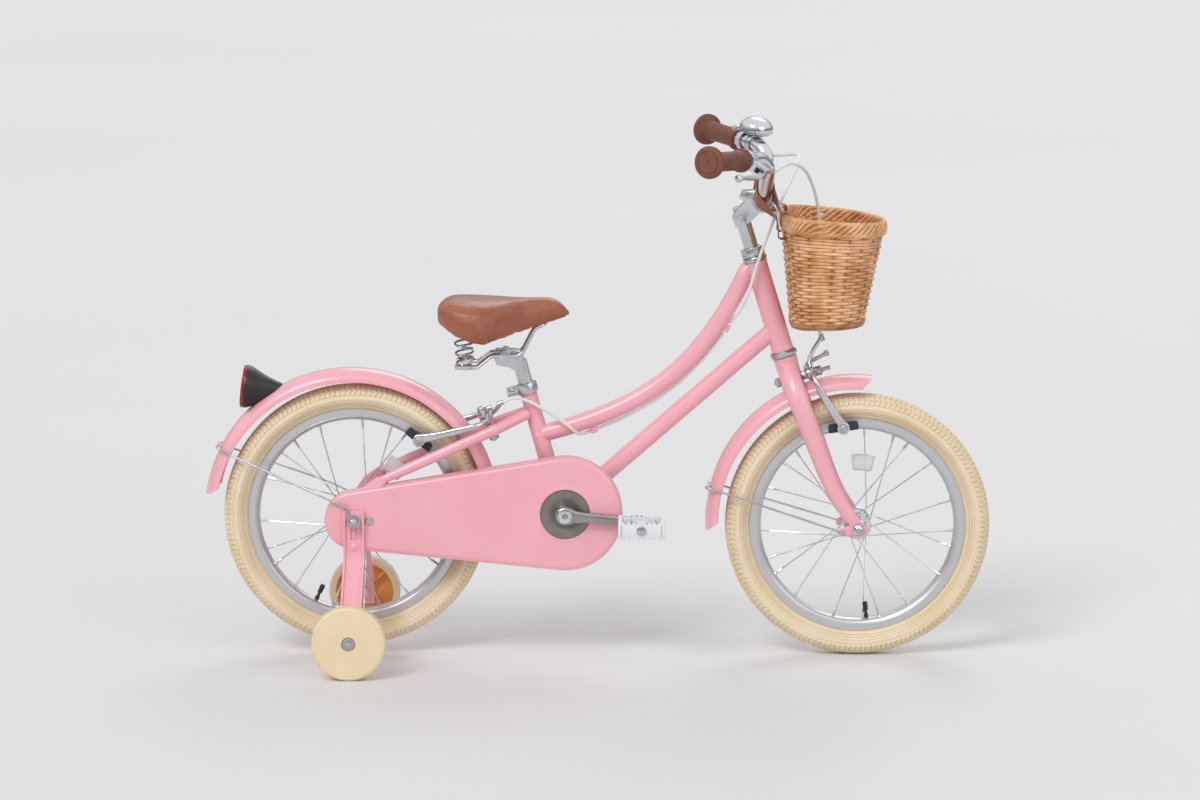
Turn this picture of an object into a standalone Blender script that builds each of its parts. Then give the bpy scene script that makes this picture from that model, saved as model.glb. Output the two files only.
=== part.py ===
"""Child's step-through bicycle with stabilisers, basket, mudguards and calliper brakes.

Sizes are in millimetres and are turned into metres where a mesh is made.
Bicycle frame of reference: +X forward, +Z up, floor at Z 0, the chain side is -Y,
and X 0 is the rear axle. The datum empty moves that to the middle of the bicycle's length.
The bicycle stands on its front tyre and both stabilisers, with the rear tyre just clear.
"""

import math

import bmesh
import bpy
from mathutils import Matrix, Vector

# Overall layout
MM = 0.001
WHEELBASE = 747.0
TYRE_RADIUS = 197.0
REAR_LIFT = 12.8            # the rear tyre's height above the floor
SEAT_GAP = 0.3              # gap that touching pieces keep
RUN_GAP = 0.3               # radial gap of a part that turns or slides

# Tyres and rims
TYRE_HALF_WIDTH = 23.0
TYRE_WALL = 4.5
TREAD_HALF_WIDTH = 9.0
TYRE_HEIGHT = 36.5          # from the rim's edge out to the tread
RIM_HALF_WIDTH = 12.2
RIM_LIP = 1.8
BEAD_DEPTH = 8.0            # the tyre's bead and the rim's inside, both in from the rim's edge
RIM_DEPTH = 17.5
RIM_WALL_DEPTH = 13.0
WHEEL_STEPS = 24
VALVE_LENGTH = 24.0
VALVE_RADIUS = 3.6

# Hubs and spokes
SPOKES_PER_FLANGE = 10
SPOKE_RADIUS = 1.0
NIPPLE_RADIUS = 2.1
NIPPLE_LENGTH = 12.0
FLANGE_HOLE_RADIUS = 16.5
FLANGE_RADIUS = 20.0
FLANGE_THICKNESS = 4.0
FLANGE_OFFSET = 24.0
LACING_ANGLE = 62.0         # degrees round the hub from a spoke's rim end to its hub end
FRONT_HUB_HALF = 42.0
REAR_HUB_HALF = 49.0
AXLE_RADIUS = 4.7
HUB_STEPS = 12

# Steering geometry
HEAD_LEAN = 17.1            # degrees from upright
HEAD_BASE_X = 634.8
HEAD_BASE_Z = 458.0
HEAD_TUBE_LENGTH = 139.0
HEAD_TUBE_RADIUS = 16.5
STEERER_RADIUS = 12.7
CUP_HEIGHT = 8.0
UPPER_CUP_RADIUS = 18.0
LOWER_CUP_RADIUS = 20.3
LOCKNUT_RADIUS = 17.0
LOCKNUT_HEIGHT = 13.0

# Frame tubes
TUBE_RADIUS = 13.0
SEAT_TUBE_RADIUS = 12.7
SEAT_TUBE_LEAN = 15.4
SEAT_TUBE_TOP_X = 253.4
SEAT_TUBE_TOP_Z = 407.0
SEAT_TUBE_BORE_DEPTH = 165.0
BRACKET_X = 313.0           # the bottom bracket, where the cranks turn
BRACKET_Z = 220.0
BRACKET_SHELL_RADIUS = 19.5
BRACKET_SHELL_HALF = 34.0
STAY_RADIUS = 8.0
CHAINSTAY_RADIUS = 7.2
DROPOUT_INNER = 55.0
DROPOUT_THICKNESS = 5.0
TOP_TUBE_START = (269.6, 329.7)
TOP_TUBE_START_ANGLE = 13.8
TOP_TUBE_START_REACH = 179.0
TOP_TUBE_END = (8.45, -14.56)   # below the head tube's top, and along from its axis
TOP_TUBE_END_ANGLE = 65.0
TOP_TUBE_END_REACH = 154.0
CLIP_PLACES = ((0.788, 15.2), (0.168, 16.8))    # share along the top tube, and drop below its middle

# Drive
LINK_PITCH = 12.7
CHAINRING_TEETH = 32
SPROCKET_TEETH = 16
CHAIN_LINE = 43.0
CRANK_LENGTH = 114.0
CRANK_DROP = 4.8            # degrees below level, forward
CRANK_INNER = 65.0
CRANK_THICKNESS = 12.0
SPINDLE_RADIUS = 8.0
PEDAL_LENGTH = 72.0
PEDAL_WIDTH = 66.0
PEDAL_THICKNESS = 27.0
PEDAL_AXLE_RADIUS = 4.4
CASE_FRONT_RADIUS = 85.0
CASE_REAR_RADIUS = 44.0
CASE_WALL = 1.5
CASE_FACE = 62.3            # the outer face's distance from the middle plane
CASE_DEPTH = 26.0
CASE_HOLE_RADIUS = 36.5

# Mudguards
GUARD_TYRE_ROOM = 25.0      # from the tyre's tread out to the mudguard's crown
GUARD_DEPTH = 17.5
GUARD_HALF_WIDTH = 27.0
GUARD_WALL = 1.4
GUARD_ARC = 5               # flats across the arch
GUARD_STEP = 12.0           # degrees
GUARD_MEETS_BRIDGE = 32.21  # degrees from level, where the rear mudguard passes under its bridge
GUARD_BRIDGE_ROOM = 21.12   # and how far outside it the bridge's middle is
GUARD_MEETS_CROWN = 96.88   # the same for the front mudguard and the fork's crown, in the steering axes
GUARD_CROWN_ROOM = 0.67
GUARD_TAB_SINK = 4.5        # a tab reaches this far through the mudguard's outside
FRONT_GUARD_FROM = 83.0
FRONT_GUARD_TO = 183.5
REAR_GUARD_FROM = 9.0
REAR_GUARD_TO = 172.0
STAY_WIRE_RADIUS = 1.7
LOW_BRIDGE_RADIUS = 6.0
LOW_BRIDGE_UP = 8.0
REFLECTOR_TURN = 129.72     # degrees from level, where the reflector stands on the rear mudguard
REFLECTOR_STANDOFF = 27.89  # its lens centre's distance outside the mudguard
REAR_STAY_CROSSING = (-203.8, 313.1)        # where the stay crosses the mudguard, X and Z
FRONT_STAY_CROSSING = (522.0, 254.4)

# Stabilisers
STABILISER_RADIUS = 54.5
STABILISER_FACE = 216.8
STABILISER_WIDTH = 27.6
STABILISER_STEPS = 20
STABILISER_BOLT_RADIUS = 5.0
STRAP_HALF_WIDTH = 15.5
STRAP_WALL = 3.0
STRAP_DEPTH = 6.5
STRAP_INNER = 62.8

# Handlebar, grips and levers
BAR_RADIUS = 11.1
BAR_CLAMP_RADIUS = 12.7
BAR_CLAMP_X = 603.3
BAR_CLAMP_Z = 681.8
GRIP_END = (521.5, 235.0, 763.0)
GRIP_INNER = (573.0, 143.0, 756.5)
BAR_SHOULDER = (611.0, 84.0, 737.0)
BAR_FOOT = 30.0
BAR_KNEE = 160.0            # from the grip's outer end, along the grip's line
GRIP_RADIUS = 14.2
GRIP_CAP_RADIUS = 24.5
GRIP_COLLAR_RADIUS = 17.6
BELL_FROM_END = 145.0       # along the grip's line, from its outer end
BELL_RADIUS = 25.8
BELL_RIM_HEIGHT = 19.0      # the dome's rim above the bar's middle
BELL_POST_RADIUS = 3.5
LEVER_STANDOFF = 27.0
LEVER_DROOP = 36.0          # degrees below level, at right angles to the grip

# Brakes
FRONT_PAD = (53.0, -89.0)   # the shoe's middle: away from the steering axis, and from the bolt
FRONT_PAD_TILT = -8.6
FRONT_BARREL = (60.3, 25.0, 37.0, 48.0)
FRONT_ANCHOR = (60.3, 25.0, 14.0, 22.0)
REAR_PAD = (29.4, -101.7)
REAR_PAD_TILT = -27.0
REAR_BARREL = (31.0, 20.0, 26.0, 35.5)
REAR_ANCHOR = (31.0, 20.0, 10.0, 17.0)
PAD_THICKNESS = 9.0
CROWN_DROP = 56.0           # the fork's crown ends this far below the head tube
CROWN_BOLT_DROP = 45.0
PAD_GAP = 2.6
FRONT_CABLE_ROOM = 1.4      # the barrel rises towards the cable's end as the shoes close
REAR_CABLE_ROOM = 0.6
ARM_THICKNESS = 5.6
BRAKE_BOLT_RADIUS = 3.0

# Seat
POST_RADIUS = 11.1
POST_INSERT = 100.0
POST_SHOWING = 36.0
NECK_HALF = 8.5             # narrow enough to enter the seat tube with the post
SADDLE_REAR_X = 123.0
SADDLE_NOSE_X = 321.0
SADDLE_TOP_Z = 535.0
SADDLE_HALF_WIDTH = 76.0
RAIL_RADIUS = 3.4
RAIL_HALF = 21.0
SPRING_X = 163.0
SPRING_Y = 36.0
SPRING_BASE_Z = 441.5
SPRING_TOP_Z = 488.0
SPRING_TOP_RADIUS = 15.5
SPRING_BASE_RADIUS = 10.0
SPRING_WIRE = 1.7
SPRING_TURNS = 4

# Basket
BASKET_TOP_Z = 668.0
BASKET_BASE_Z = 496.0
BASKET_TOP_X = (629.0, 788.0)
BASKET_BASE_X = (645.0, 755.0)
BASKET_TOP_HALF = 98.0
BASKET_BASE_HALF = 70.0
BASKET_WALL = 5.0
BASKET_BAND = 25.0
BASKET_TILT = 0.09          # how steeply the rim falls towards the front
BASKET_STEPS = 16

# Cables
CABLE_RADIUS = 2.4

PINK = (0.86, 0.42, 0.47)
STEEL = (0.62, 0.62, 0.63)
ALLOY = (0.75, 0.76, 0.78)
CREAM = (0.83, 0.68, 0.45)
LEATHER = (0.36, 0.12, 0.05)
BLACK = (0.02, 0.02, 0.022)
WICKER = (0.68, 0.34, 0.12)
WHITE = (0.85, 0.85, 0.84)
RED = (0.5, 0.02, 0.02)
CLEAR = (0.8, 0.82, 0.84)

RIM_RADIUS = TYRE_RADIUS - TYRE_HEIGHT
BEAD_RADIUS = RIM_RADIUS - BEAD_DEPTH
RIM_INNER_RADIUS = RIM_RADIUS - RIM_DEPTH
FRONT_AXLE_Z = TYRE_RADIUS
REAR_AXLE_Z = TYRE_RADIUS + REAR_LIFT
GUARD_RADIUS = TYRE_RADIUS + GUARD_TYRE_ROOM
BRIDGE = Vector((200.4, 0, 339.4))          # where the rear brake bolts on
REAR_GUARD_CENTRE = BRIDGE - (Vector((math.cos(math.radians(GUARD_MEETS_BRIDGE)), 0,
                                      math.sin(math.radians(GUARD_MEETS_BRIDGE))))
                              * (GUARD_RADIUS + GUARD_BRIDGE_ROOM))
TAIL_X = REAR_GUARD_CENTRE.x + GUARD_RADIUS * math.cos(math.radians(REAR_GUARD_TO))
LENGTH_MIDDLE = (WHEELBASE + TYRE_RADIUS + TAIL_X) / 2
SIDES = (("right", -1), ("left", 1))
X_AXIS = Vector((1, 0, 0))
Y_AXIS = Vector((0, 1, 0))
Z_AXIS = Vector((0, 0, 1))


# Scene and bodies

def clear_scene():
    for old in list(bpy.data.objects):
        bpy.data.objects.remove(old)


def make_empty(name, parent=None, place=(0, 0, 0), tilt=0.0):
    """An empty for a body's joint; tilt turns it about Y, in degrees."""
    empty = bpy.data.objects.new(name, None)
    empty.empty_display_size = 0.05
    bpy.context.collection.objects.link(empty)
    empty.parent = parent
    empty.location = Vector(place) * MM
    empty.rotation_euler = (0, math.radians(tilt), 0)
    return empty


def make_material(name, colour, roughness=0.4, metallic=0.0):
    material = bpy.data.materials.new(name)
    material.use_nodes = True
    shader = material.node_tree.nodes["Principled BSDF"]
    shader.inputs["Base Color"].default_value = (*colour, 1)
    shader.inputs["Roughness"].default_value = roughness
    shader.inputs["Metallic"].default_value = metallic
    material.diffuse_color = (*colour, 1)
    return material


def make_object(name, solid, body, colour, roughness=0.4, metallic=0.0, sharp=35.0):
    """Puts a closed mesh in millimetres into the scene, on its body, in metres."""
    solid.transform(Matrix.Scale(MM, 4))
    solid.name = name
    solid.shade_smooth()
    solid.set_sharp_from_angle(angle=math.radians(sharp))
    solid.materials.clear()
    solid.materials.append(make_material(name, colour, roughness, metallic))
    made = bpy.data.objects.new(name, solid)
    bpy.context.collection.objects.link(made)
    made.parent = body
    return made


# Solids

def solid_from_rings(rings, wrap=False):
    """Skins a list of equal rings of points; the ends are capped, or joined when wrap is set."""
    shell = bmesh.new()
    rows = [[shell.verts.new(point) for point in ring] for ring in rings]
    pairs = list(zip(rows, rows[1:]))
    if wrap:
        pairs.append((rows[-1], rows[0]))
    for near, far in pairs:
        for index in range(len(near)):
            after = (index + 1) % len(near)
            shell.faces.new((near[index], near[after], far[after], far[index]))
    if not wrap:
        shell.faces.new(rows[0])
        shell.faces.new(rows[-1])
    bmesh.ops.connect_verts_nonplanar(shell, angle_limit=math.radians(0.5), faces=shell.faces)
    bmesh.ops.recalc_face_normals(shell, faces=shell.faces)
    solid = bpy.data.meshes.new("solid")
    shell.to_mesh(solid)
    shell.free()
    return solid


def circle(centre, across, along, radii, sides, phase=0.0):
    """Points round a circle or an ellipse whose two half axes are given."""
    points = []
    for index in range(sides):
        angle = math.tau * (index + phase) / sides
        points.append(centre + across * radii[0] * math.cos(angle) + along * radii[1] * math.sin(angle))
    return points


def sweep_frames(path, first_across):
    """An across and an along direction, square to the path, at each of its points."""
    frames = []
    across = Vector(first_across)
    for index, point in enumerate(path):
        before = path[max(index - 1, 0)]
        after = path[min(index + 1, len(path) - 1)]
        tangent = (after - before).normalized()
        across = (across - tangent * across.dot(tangent)).normalized()
        frames.append((point, across.copy(), tangent.cross(across)))
    return frames


def tube(path, radii, sides=12, first_across=(0, 1, 0), phase=0.5):
    """A round or oval bar along a path; radii is one size, or one or a pair for each point."""
    path = [Vector(point) for point in path]
    if not isinstance(radii, (list, tuple)):
        radii = [radii] * len(path)
    pairs = [size if isinstance(size, tuple) else (size, size) for size in radii]
    rings = []
    for (point, across, along), pair in zip(sweep_frames(path, first_across), pairs):
        rings.append(circle(point, across, along, pair, sides, phase))
    return solid_from_rings(rings)


def rod(start, end, radius, sides=16):
    start, end = Vector(start), Vector(end)
    helper = X_AXIS if abs((end - start).normalized().x) < 0.8 else Y_AXIS
    return tube([start, end], radius, sides, helper)


def bore(start, end, radius, sides=12):
    """A cutter for a round hole: its flats, not its corners, keep the radius."""
    return rod(start, end, radius / math.cos(math.pi / sides), sides)


def lathe(profile, steps, centre=(0, 0, 0), axis=Y_AXIS, phase=0.0, closed=True):
    """Turns a profile of (radius, distance along the axis) points.

    A closed profile makes a ring; an open one makes a solid whose two ends are flat.
    """
    centre, axis = Vector(centre), Vector(axis).normalized()
    across = X_AXIS if abs(axis.x) < 0.8 else Z_AXIS
    across = (across - axis * across.dot(axis)).normalized()
    along = axis.cross(across)
    rings = [circle(centre + axis * place, across, along, (radius, radius), steps, phase)
             for radius, place in profile]
    return solid_from_rings(rings, wrap=closed)


def flat_phase(steps):
    """The share of a step that puts a wheel's flat, not its corner, on the floor."""
    return (0.75 * steps + 0.5) % 1.0


def prism(outline, start, end, plane="XZ"):
    """Extrudes a flat outline: XZ along Y, XY along Z and YZ along X."""
    def place(u, v, w):
        return {"XZ": Vector((u, w, v)), "XY": Vector((u, v, w)), "YZ": Vector((w, u, v))}[plane]
    return solid_from_rings([[place(u, v, w) for u, v in outline] for w in (start, end)])


def block(low, high):
    outline = [(low[0], low[1]), (high[0], low[1]), (high[0], high[1]), (low[0], high[1])]
    return prism(outline, low[2], high[2], "XY")


def moved(solid, matrix):
    solid.transform(matrix)
    return solid


def mirrored(solid):
    """The same solid on the other side of the middle plane."""
    copy = solid.copy()
    copy.transform(Matrix.Scale(-1, 4, Y_AXIS))
    copy.flip_normals()
    return copy


def boolean(base, others, operation):
    """Applies Boolean modifiers, one for each other solid, and returns the result."""
    holder = bpy.data.objects.new("base", base)
    bpy.context.collection.objects.link(holder)
    for other in others:
        helper = bpy.data.objects.new("other", other)
        bpy.context.collection.objects.link(helper)
        modifier = holder.modifiers.new("boolean", "BOOLEAN")
        modifier.operation = operation
        modifier.object = helper
        bpy.context.view_layer.update()
        result = bpy.data.meshes.new_from_object(
            holder.evaluated_get(bpy.context.evaluated_depsgraph_get()))
        holder.modifiers.clear()
        holder.data = result
        bpy.data.objects.remove(helper)
    result = holder.data
    bpy.data.objects.remove(holder)
    return tidy(result)


def tidy(solid):
    """Joins points that a Boolean leaves almost on one another."""
    shell = bmesh.new()
    shell.from_mesh(solid)
    bmesh.ops.remove_doubles(shell, verts=shell.verts, dist=0.01)
    bmesh.ops.dissolve_degenerate(shell, edges=shell.edges, dist=0.004)
    shell.to_mesh(solid)
    shell.free()
    return solid


def union(base, *others):
    return boolean(base, others, "UNION")


def cut(base, *others):
    return boolean(base, others, "DIFFERENCE")


# Paths

def bezier(start, start_pull, end_pull, end, count):
    points = []
    for index in range(count + 1):
        t = index / count
        s = 1 - t
        points.append(start * s ** 3 + start_pull * 3 * s * s * t + end_pull * 3 * s * t * t + end * t ** 3)
    return points


def rounded(corners, radii, steps=4):
    """A path through corners, each inner corner replaced by an arc of its radius."""
    corners = [Vector(corner) for corner in corners]
    path = [corners[0]]
    for index in range(1, len(corners) - 1):
        corner = corners[index]
        back = (corners[index - 1] - corner).normalized()
        ahead = (corners[index + 1] - corner).normalized()
        half = back.angle(ahead) / 2
        radius = radii[index - 1] if isinstance(radii, (list, tuple)) else radii
        trim = radius / math.tan(half)
        centre = corner + (back + ahead).normalized() * radius / math.sin(half)
        first = corner + back * trim - centre
        last = corner + ahead * trim - centre
        turn = first.angle(last)
        for step in range(steps + 1):
            share = step / steps
            path.append(centre + (first * math.sin((1 - share) * turn)
                                  + last * math.sin(share * turn)) / math.sin(turn))
    path.append(corners[-1])
    return path


def smooth_route(points, spacing):
    """Evenly spaced points on a smooth curve through the route's points."""
    points = [Vector(point) for point in points]
    ends = [points[0] * 2 - points[1]] + points + [points[-1] * 2 - points[-2]]
    dense = []
    for a, b, c, d in zip(ends, ends[1:], ends[2:], ends[3:]):
        for step in range(12):
            t = step / 12
            dense.append((b * 2 + (c - a) * t + (a * 2 - b * 5 + c * 4 - d) * t * t
                          + (b * 3 - a - c * 3 + d) * t ** 3) / 2)
    dense.append(points[-1])
    length = sum((b - a).length for a, b in zip(dense, dense[1:]))
    count = max(2, round(length / spacing))
    spaced = [dense[0]]
    travelled = 0.0
    for a, b in zip(dense, dense[1:]):
        piece = (b - a).length
        while len(spaced) < count and travelled + piece >= len(spaced) * length / count:
            share = (len(spaced) * length / count - travelled) / piece
            spaced.append(a.lerp(b, share))
        travelled += piece
    spaced.append(dense[-1])
    return spaced


def make_cable(name, route, body, colour=WHITE):
    """A cable housing: a curve with a round bevel and closed ends."""
    points = smooth_route(route, CABLE_RADIUS * 6)
    curve = bpy.data.curves.new(name, "CURVE")
    curve.dimensions = "3D"
    spline = curve.splines.new("POLY")
    spline.points.add(len(points) - 1)
    for place, point in zip(spline.points, points):
        place.co = (*(point * MM), 1)
    curve.bevel_depth = CABLE_RADIUS * MM
    curve.bevel_resolution = 2
    curve.use_fill_caps = True
    curve.materials.append(make_material(name, colour, 0.35))
    made = bpy.data.objects.new(name, curve)
    bpy.context.collection.objects.link(made)
    made.parent = body
    return made


# Wheels

def tyre_solid():
    """An open casing: tread, rounded sidewalls and the beads that sit in the rim."""
    outer = [(BEAD_RADIUS + SEAT_GAP, -RIM_HALF_WIDTH + RIM_LIP + 1.0),
             (RIM_RADIUS + 0.6, -RIM_HALF_WIDTH + RIM_LIP + 1.0),
             (RIM_RADIUS + 5.0, -TYRE_HALF_WIDTH + 4.0),
             (RIM_RADIUS + 15.0, -TYRE_HALF_WIDTH),
             (TYRE_RADIUS - 8.0, -TYRE_HALF_WIDTH + 4.6),
             (TYRE_RADIUS, -TREAD_HALF_WIDTH)]
    inner = [(TYRE_RADIUS - TYRE_WALL - 1.5, -TREAD_HALF_WIDTH + 1.0),
             (RIM_RADIUS + 15.0, -TYRE_HALF_WIDTH + TYRE_WALL),
             (BEAD_RADIUS + SEAT_GAP, -RIM_HALF_WIDTH + RIM_LIP + 1.0 + TYRE_WALL - 1.0)]
    flip = [(radius, -side) for radius, side in reversed(outer)]
    flip_inner = [(radius, -side) for radius, side in reversed(inner)]
    grow = 1 / math.cos(math.pi / WHEEL_STEPS)
    profile = [(radius * (grow if radius > RIM_RADIUS else 1.0), side)
               for radius, side in outer + flip + flip_inner + inner]
    return lathe(profile, WHEEL_STEPS, phase=flat_phase(WHEEL_STEPS))


def rim_solid(valve_angle):
    lip = RIM_HALF_WIDTH - RIM_LIP
    half = [(RIM_RADIUS, RIM_HALF_WIDTH), (RIM_RADIUS, lip), (BEAD_RADIUS - 1.0, lip)]
    low = [(RIM_INNER_RADIUS, -7.0), (RIM_INNER_RADIUS, 7.0), (RIM_RADIUS - RIM_WALL_DEPTH, RIM_HALF_WIDTH)]
    profile = half + [(radius, -side) for radius, side in reversed(half)]
    profile += [(RIM_RADIUS - RIM_WALL_DEPTH, -RIM_HALF_WIDTH)] + low
    ring = lathe(profile, WHEEL_STEPS, phase=flat_phase(WHEEL_STEPS))
    ray = Vector((math.cos(valve_angle), 0, math.sin(valve_angle)))
    valve = tube([ray * (RIM_INNER_RADIUS + 3), ray * (RIM_INNER_RADIUS - 4),
                  ray * (RIM_INNER_RADIUS - 4.5), ray * (RIM_INNER_RADIUS - VALVE_LENGTH)],
                 [VALVE_RADIUS * 0.6, VALVE_RADIUS * 0.6, VALVE_RADIUS, VALVE_RADIUS], 6)
    return union(ring, valve)


def spoke_solid(index, side):
    """One spoke: laced across the hub, from inside or outside the flange by turns."""
    turn = math.tau * (index + (0.5 if side > 0 else 0.0)) / SPOKES_PER_FLANGE
    lean = math.radians(LACING_ANGLE) * (1 if index % 2 else -1)
    rim_turn = turn + math.radians(4.0) * (1 if index % 2 else -1)
    sit = FLANGE_OFFSET + (1.5 if index % 2 else -1.5)
    hub_end = Vector((FLANGE_HOLE_RADIUS * math.cos(rim_turn + lean), side * sit,
                      FLANGE_HOLE_RADIUS * math.sin(rim_turn + lean)))
    reach = RIM_INNER_RADIUS * math.cos(math.pi / WHEEL_STEPS) - SEAT_GAP - NIPPLE_RADIUS * 0.35
    rim_end = Vector((reach * math.cos(rim_turn), side * 3.0, reach * math.sin(rim_turn)))
    line = (rim_end - hub_end).normalized()
    neck = rim_end - line * NIPPLE_LENGTH
    return tube([hub_end, neck, rim_end], [SPOKE_RADIUS, SPOKE_RADIUS, NIPPLE_RADIUS], 3, Y_AXIS)


def hub_solid(half_length, seat_from=None, seat_radius=0.0):
    """Hub shell with two flanges and its spokes; a sprocket seat when one is asked for."""
    low, high = FLANGE_OFFSET - FLANGE_THICKNESS / 2, FLANGE_OFFSET + FLANGE_THICKNESS / 2
    inside = (AXLE_RADIUS + RUN_GAP) / math.cos(math.pi / HUB_STEPS)
    half = [(10.0, low - 1), (FLANGE_RADIUS, low), (FLANGE_RADIUS, high), (11.0, high + 1)]
    right = [(radius, -place) for radius, place in reversed(half)]
    if seat_from is None:
        right = [(10.0, -half_length)] + right
    else:
        right = [(seat_radius, -half_length), (seat_radius, -seat_from)] + right
    left = half + [(10.0, half_length)]
    shell = lathe(right + left + [(inside, half_length), (inside, -half_length)], HUB_STEPS)
    spokes = [spoke_solid(index, side) for side in (-1, 1) for index in range(SPOKES_PER_FLANGE)]
    return union(shell, *spokes)


def reflector_outline(turn):
    """The bow-shaped outline of a flat reflector."""
    inner, outer, spread = 80.0, 104.0, math.radians(9.5)
    steps = 4
    points = []
    for radius, sign in ((inner, 1), (outer, -1)):
        for step in range(steps + 1):
            angle = turn + sign * spread * (2 * step / steps - 1)
            points.append((radius * math.cos(angle), radius * math.sin(angle)))
    return points


def make_wheel(prefix, body, hub_half, valve_angle, reflector_turn, reflector_y, seat=None):
    """A whole wheel; its reflector stands against the spokes of one side, at reflector_y."""
    make_object(prefix + "_tyre", tyre_solid(), body, CREAM, 0.7)
    make_object(prefix + "_rim", rim_solid(valve_angle), body, ALLOY, 0.3, 1.0)
    hub = hub_solid(hub_half, *(seat or ()))
    make_object(prefix + "_hub_and_spokes", hub, body, STEEL, 0.25, 1.0)
    half_thick = 2.2
    plate = prism(reflector_outline(reflector_turn), reflector_y - half_thick, reflector_y + half_thick)
    make_object(prefix + "_spoke_reflector", plate, body, CLEAR, 0.15)


def axle_solid(ends, spacer=None):
    """An axle rod with a domed nut at each end; ends gives where each nut seats and stops."""
    pieces = []
    for side in (-1, 1):
        seat, stop = ends
        nut = lathe([(8.2, side * seat), (8.6, side * (seat + 1.5)), (8.6, side * (seat + 6)),
                     (7.0, side * (stop - 2.5)), (3.5, side * stop)], 6, closed=False)
        pieces.append(nut)
    if spacer:
        pieces.append(lathe([(10.0, spacer[0]), (10.0, spacer[1])], 10, closed=False))
    return union(rod((0, -ends[1] + 3, 0), (0, ends[1] - 3, 0), AXLE_RADIUS, 8), *pieces)


# Frame

def head_point(along, forward=0.0):
    """A point of the bicycle at a distance up the steering axis and in front of it."""
    lean = math.radians(HEAD_LEAN)
    return Vector((HEAD_BASE_X - along * math.sin(lean) + forward * math.cos(lean), 0,
                   HEAD_BASE_Z + along * math.cos(lean) + forward * math.sin(lean)))


def steering_local(point):
    """Where a point of the bicycle lies in the steering body's own axes."""
    lean = math.radians(HEAD_LEAN)
    dx, dz = point[0] - HEAD_BASE_X, point[2] - HEAD_BASE_Z
    return Vector((dx * math.cos(lean) + dz * math.sin(lean), point[1],
                   -dx * math.sin(lean) + dz * math.cos(lean)))


def seat_point(down, back=0.0):
    """A point on the seat tube's line, measured down from its top."""
    lean = math.radians(SEAT_TUBE_LEAN)
    return Vector((SEAT_TUBE_TOP_X + down * math.sin(lean) - back * math.cos(lean), 0,
                   SEAT_TUBE_TOP_Z - down * math.cos(lean) - back * math.sin(lean)))


def top_tube_path(count=12):
    """The swooping line of the top tube, from the seat tube up to the head tube."""
    a0, a1 = math.radians(TOP_TUBE_START_ANGLE), math.radians(TOP_TUBE_END_ANGLE)
    start = Vector((TOP_TUBE_START[0], 0, TOP_TUBE_START[1]))
    end = head_point(HEAD_TUBE_LENGTH - TOP_TUBE_END[0], TOP_TUBE_END[1])
    return bezier(start, start + Vector((math.cos(a0), 0, math.sin(a0))) * TOP_TUBE_START_REACH,
                  end - Vector((math.cos(a1), 0, math.sin(a1))) * TOP_TUBE_END_REACH, end, count)


STAY_TOP = Vector((256.0, 13.0, 363.5))
STAY_KNEE = Vector((214.0, 37.5, 345.4))
STAY_END = Vector((34.0, 54.4, 266.6))
STAY_LINE = (STAY_END - STAY_KNEE).normalized()
REAR_BRAKE_TILT = 23.6                       # degrees that the rear brake bolt leans back


def dropout_outline():
    """The rear end plate, from the axle up to the seat stay and forward to the chain stay."""
    x, z = 0.0, REAR_AXLE_Z
    points = [(x + 15 * math.cos(math.radians(a)), z + 15 * math.sin(math.radians(a)))
              for a in range(150, 331, 30)]
    return points + [(x + 40, z - 7), (x + 42, z + 7), (x + 26, z + 18), (x + 30, z + 34),
                     (x + 48, z + 60), (x + 36, z + 66), (x + 8, z + 46), (x - 8, z + 22)]


def cable_clip(place, slope):
    """A brazed cable guide under the top tube, in the line of the cable."""
    ahead = Vector((math.cos(slope), 0, math.sin(slope)))
    up = Vector((-math.sin(slope), 0, math.cos(slope)))
    corners = []
    for w in (-5.0, 5.0):
        corners.append([place + ahead * u + up * v + Y_AXIS * w
                        for u, v in ((-5.5, -4.5), (5.5, -4.5), (5.5, 7.5), (-5.5, 7.5))])
    return solid_from_rings(corners)


def clip_place(share, drop):
    """Where a cable guide is, at a share of the top tube and below its middle, and the tube's slope."""
    path = top_tube_path(1000)
    index = round(share * 1000)
    line = path[index + 1] - path[index - 1]
    slope = math.atan2(line.z, line.x)
    return path[index] + Vector((math.sin(slope), 0, -math.cos(slope))) * drop, slope


CLIPS = [clip_place(share, drop) for share, drop in CLIP_PLACES]


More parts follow.
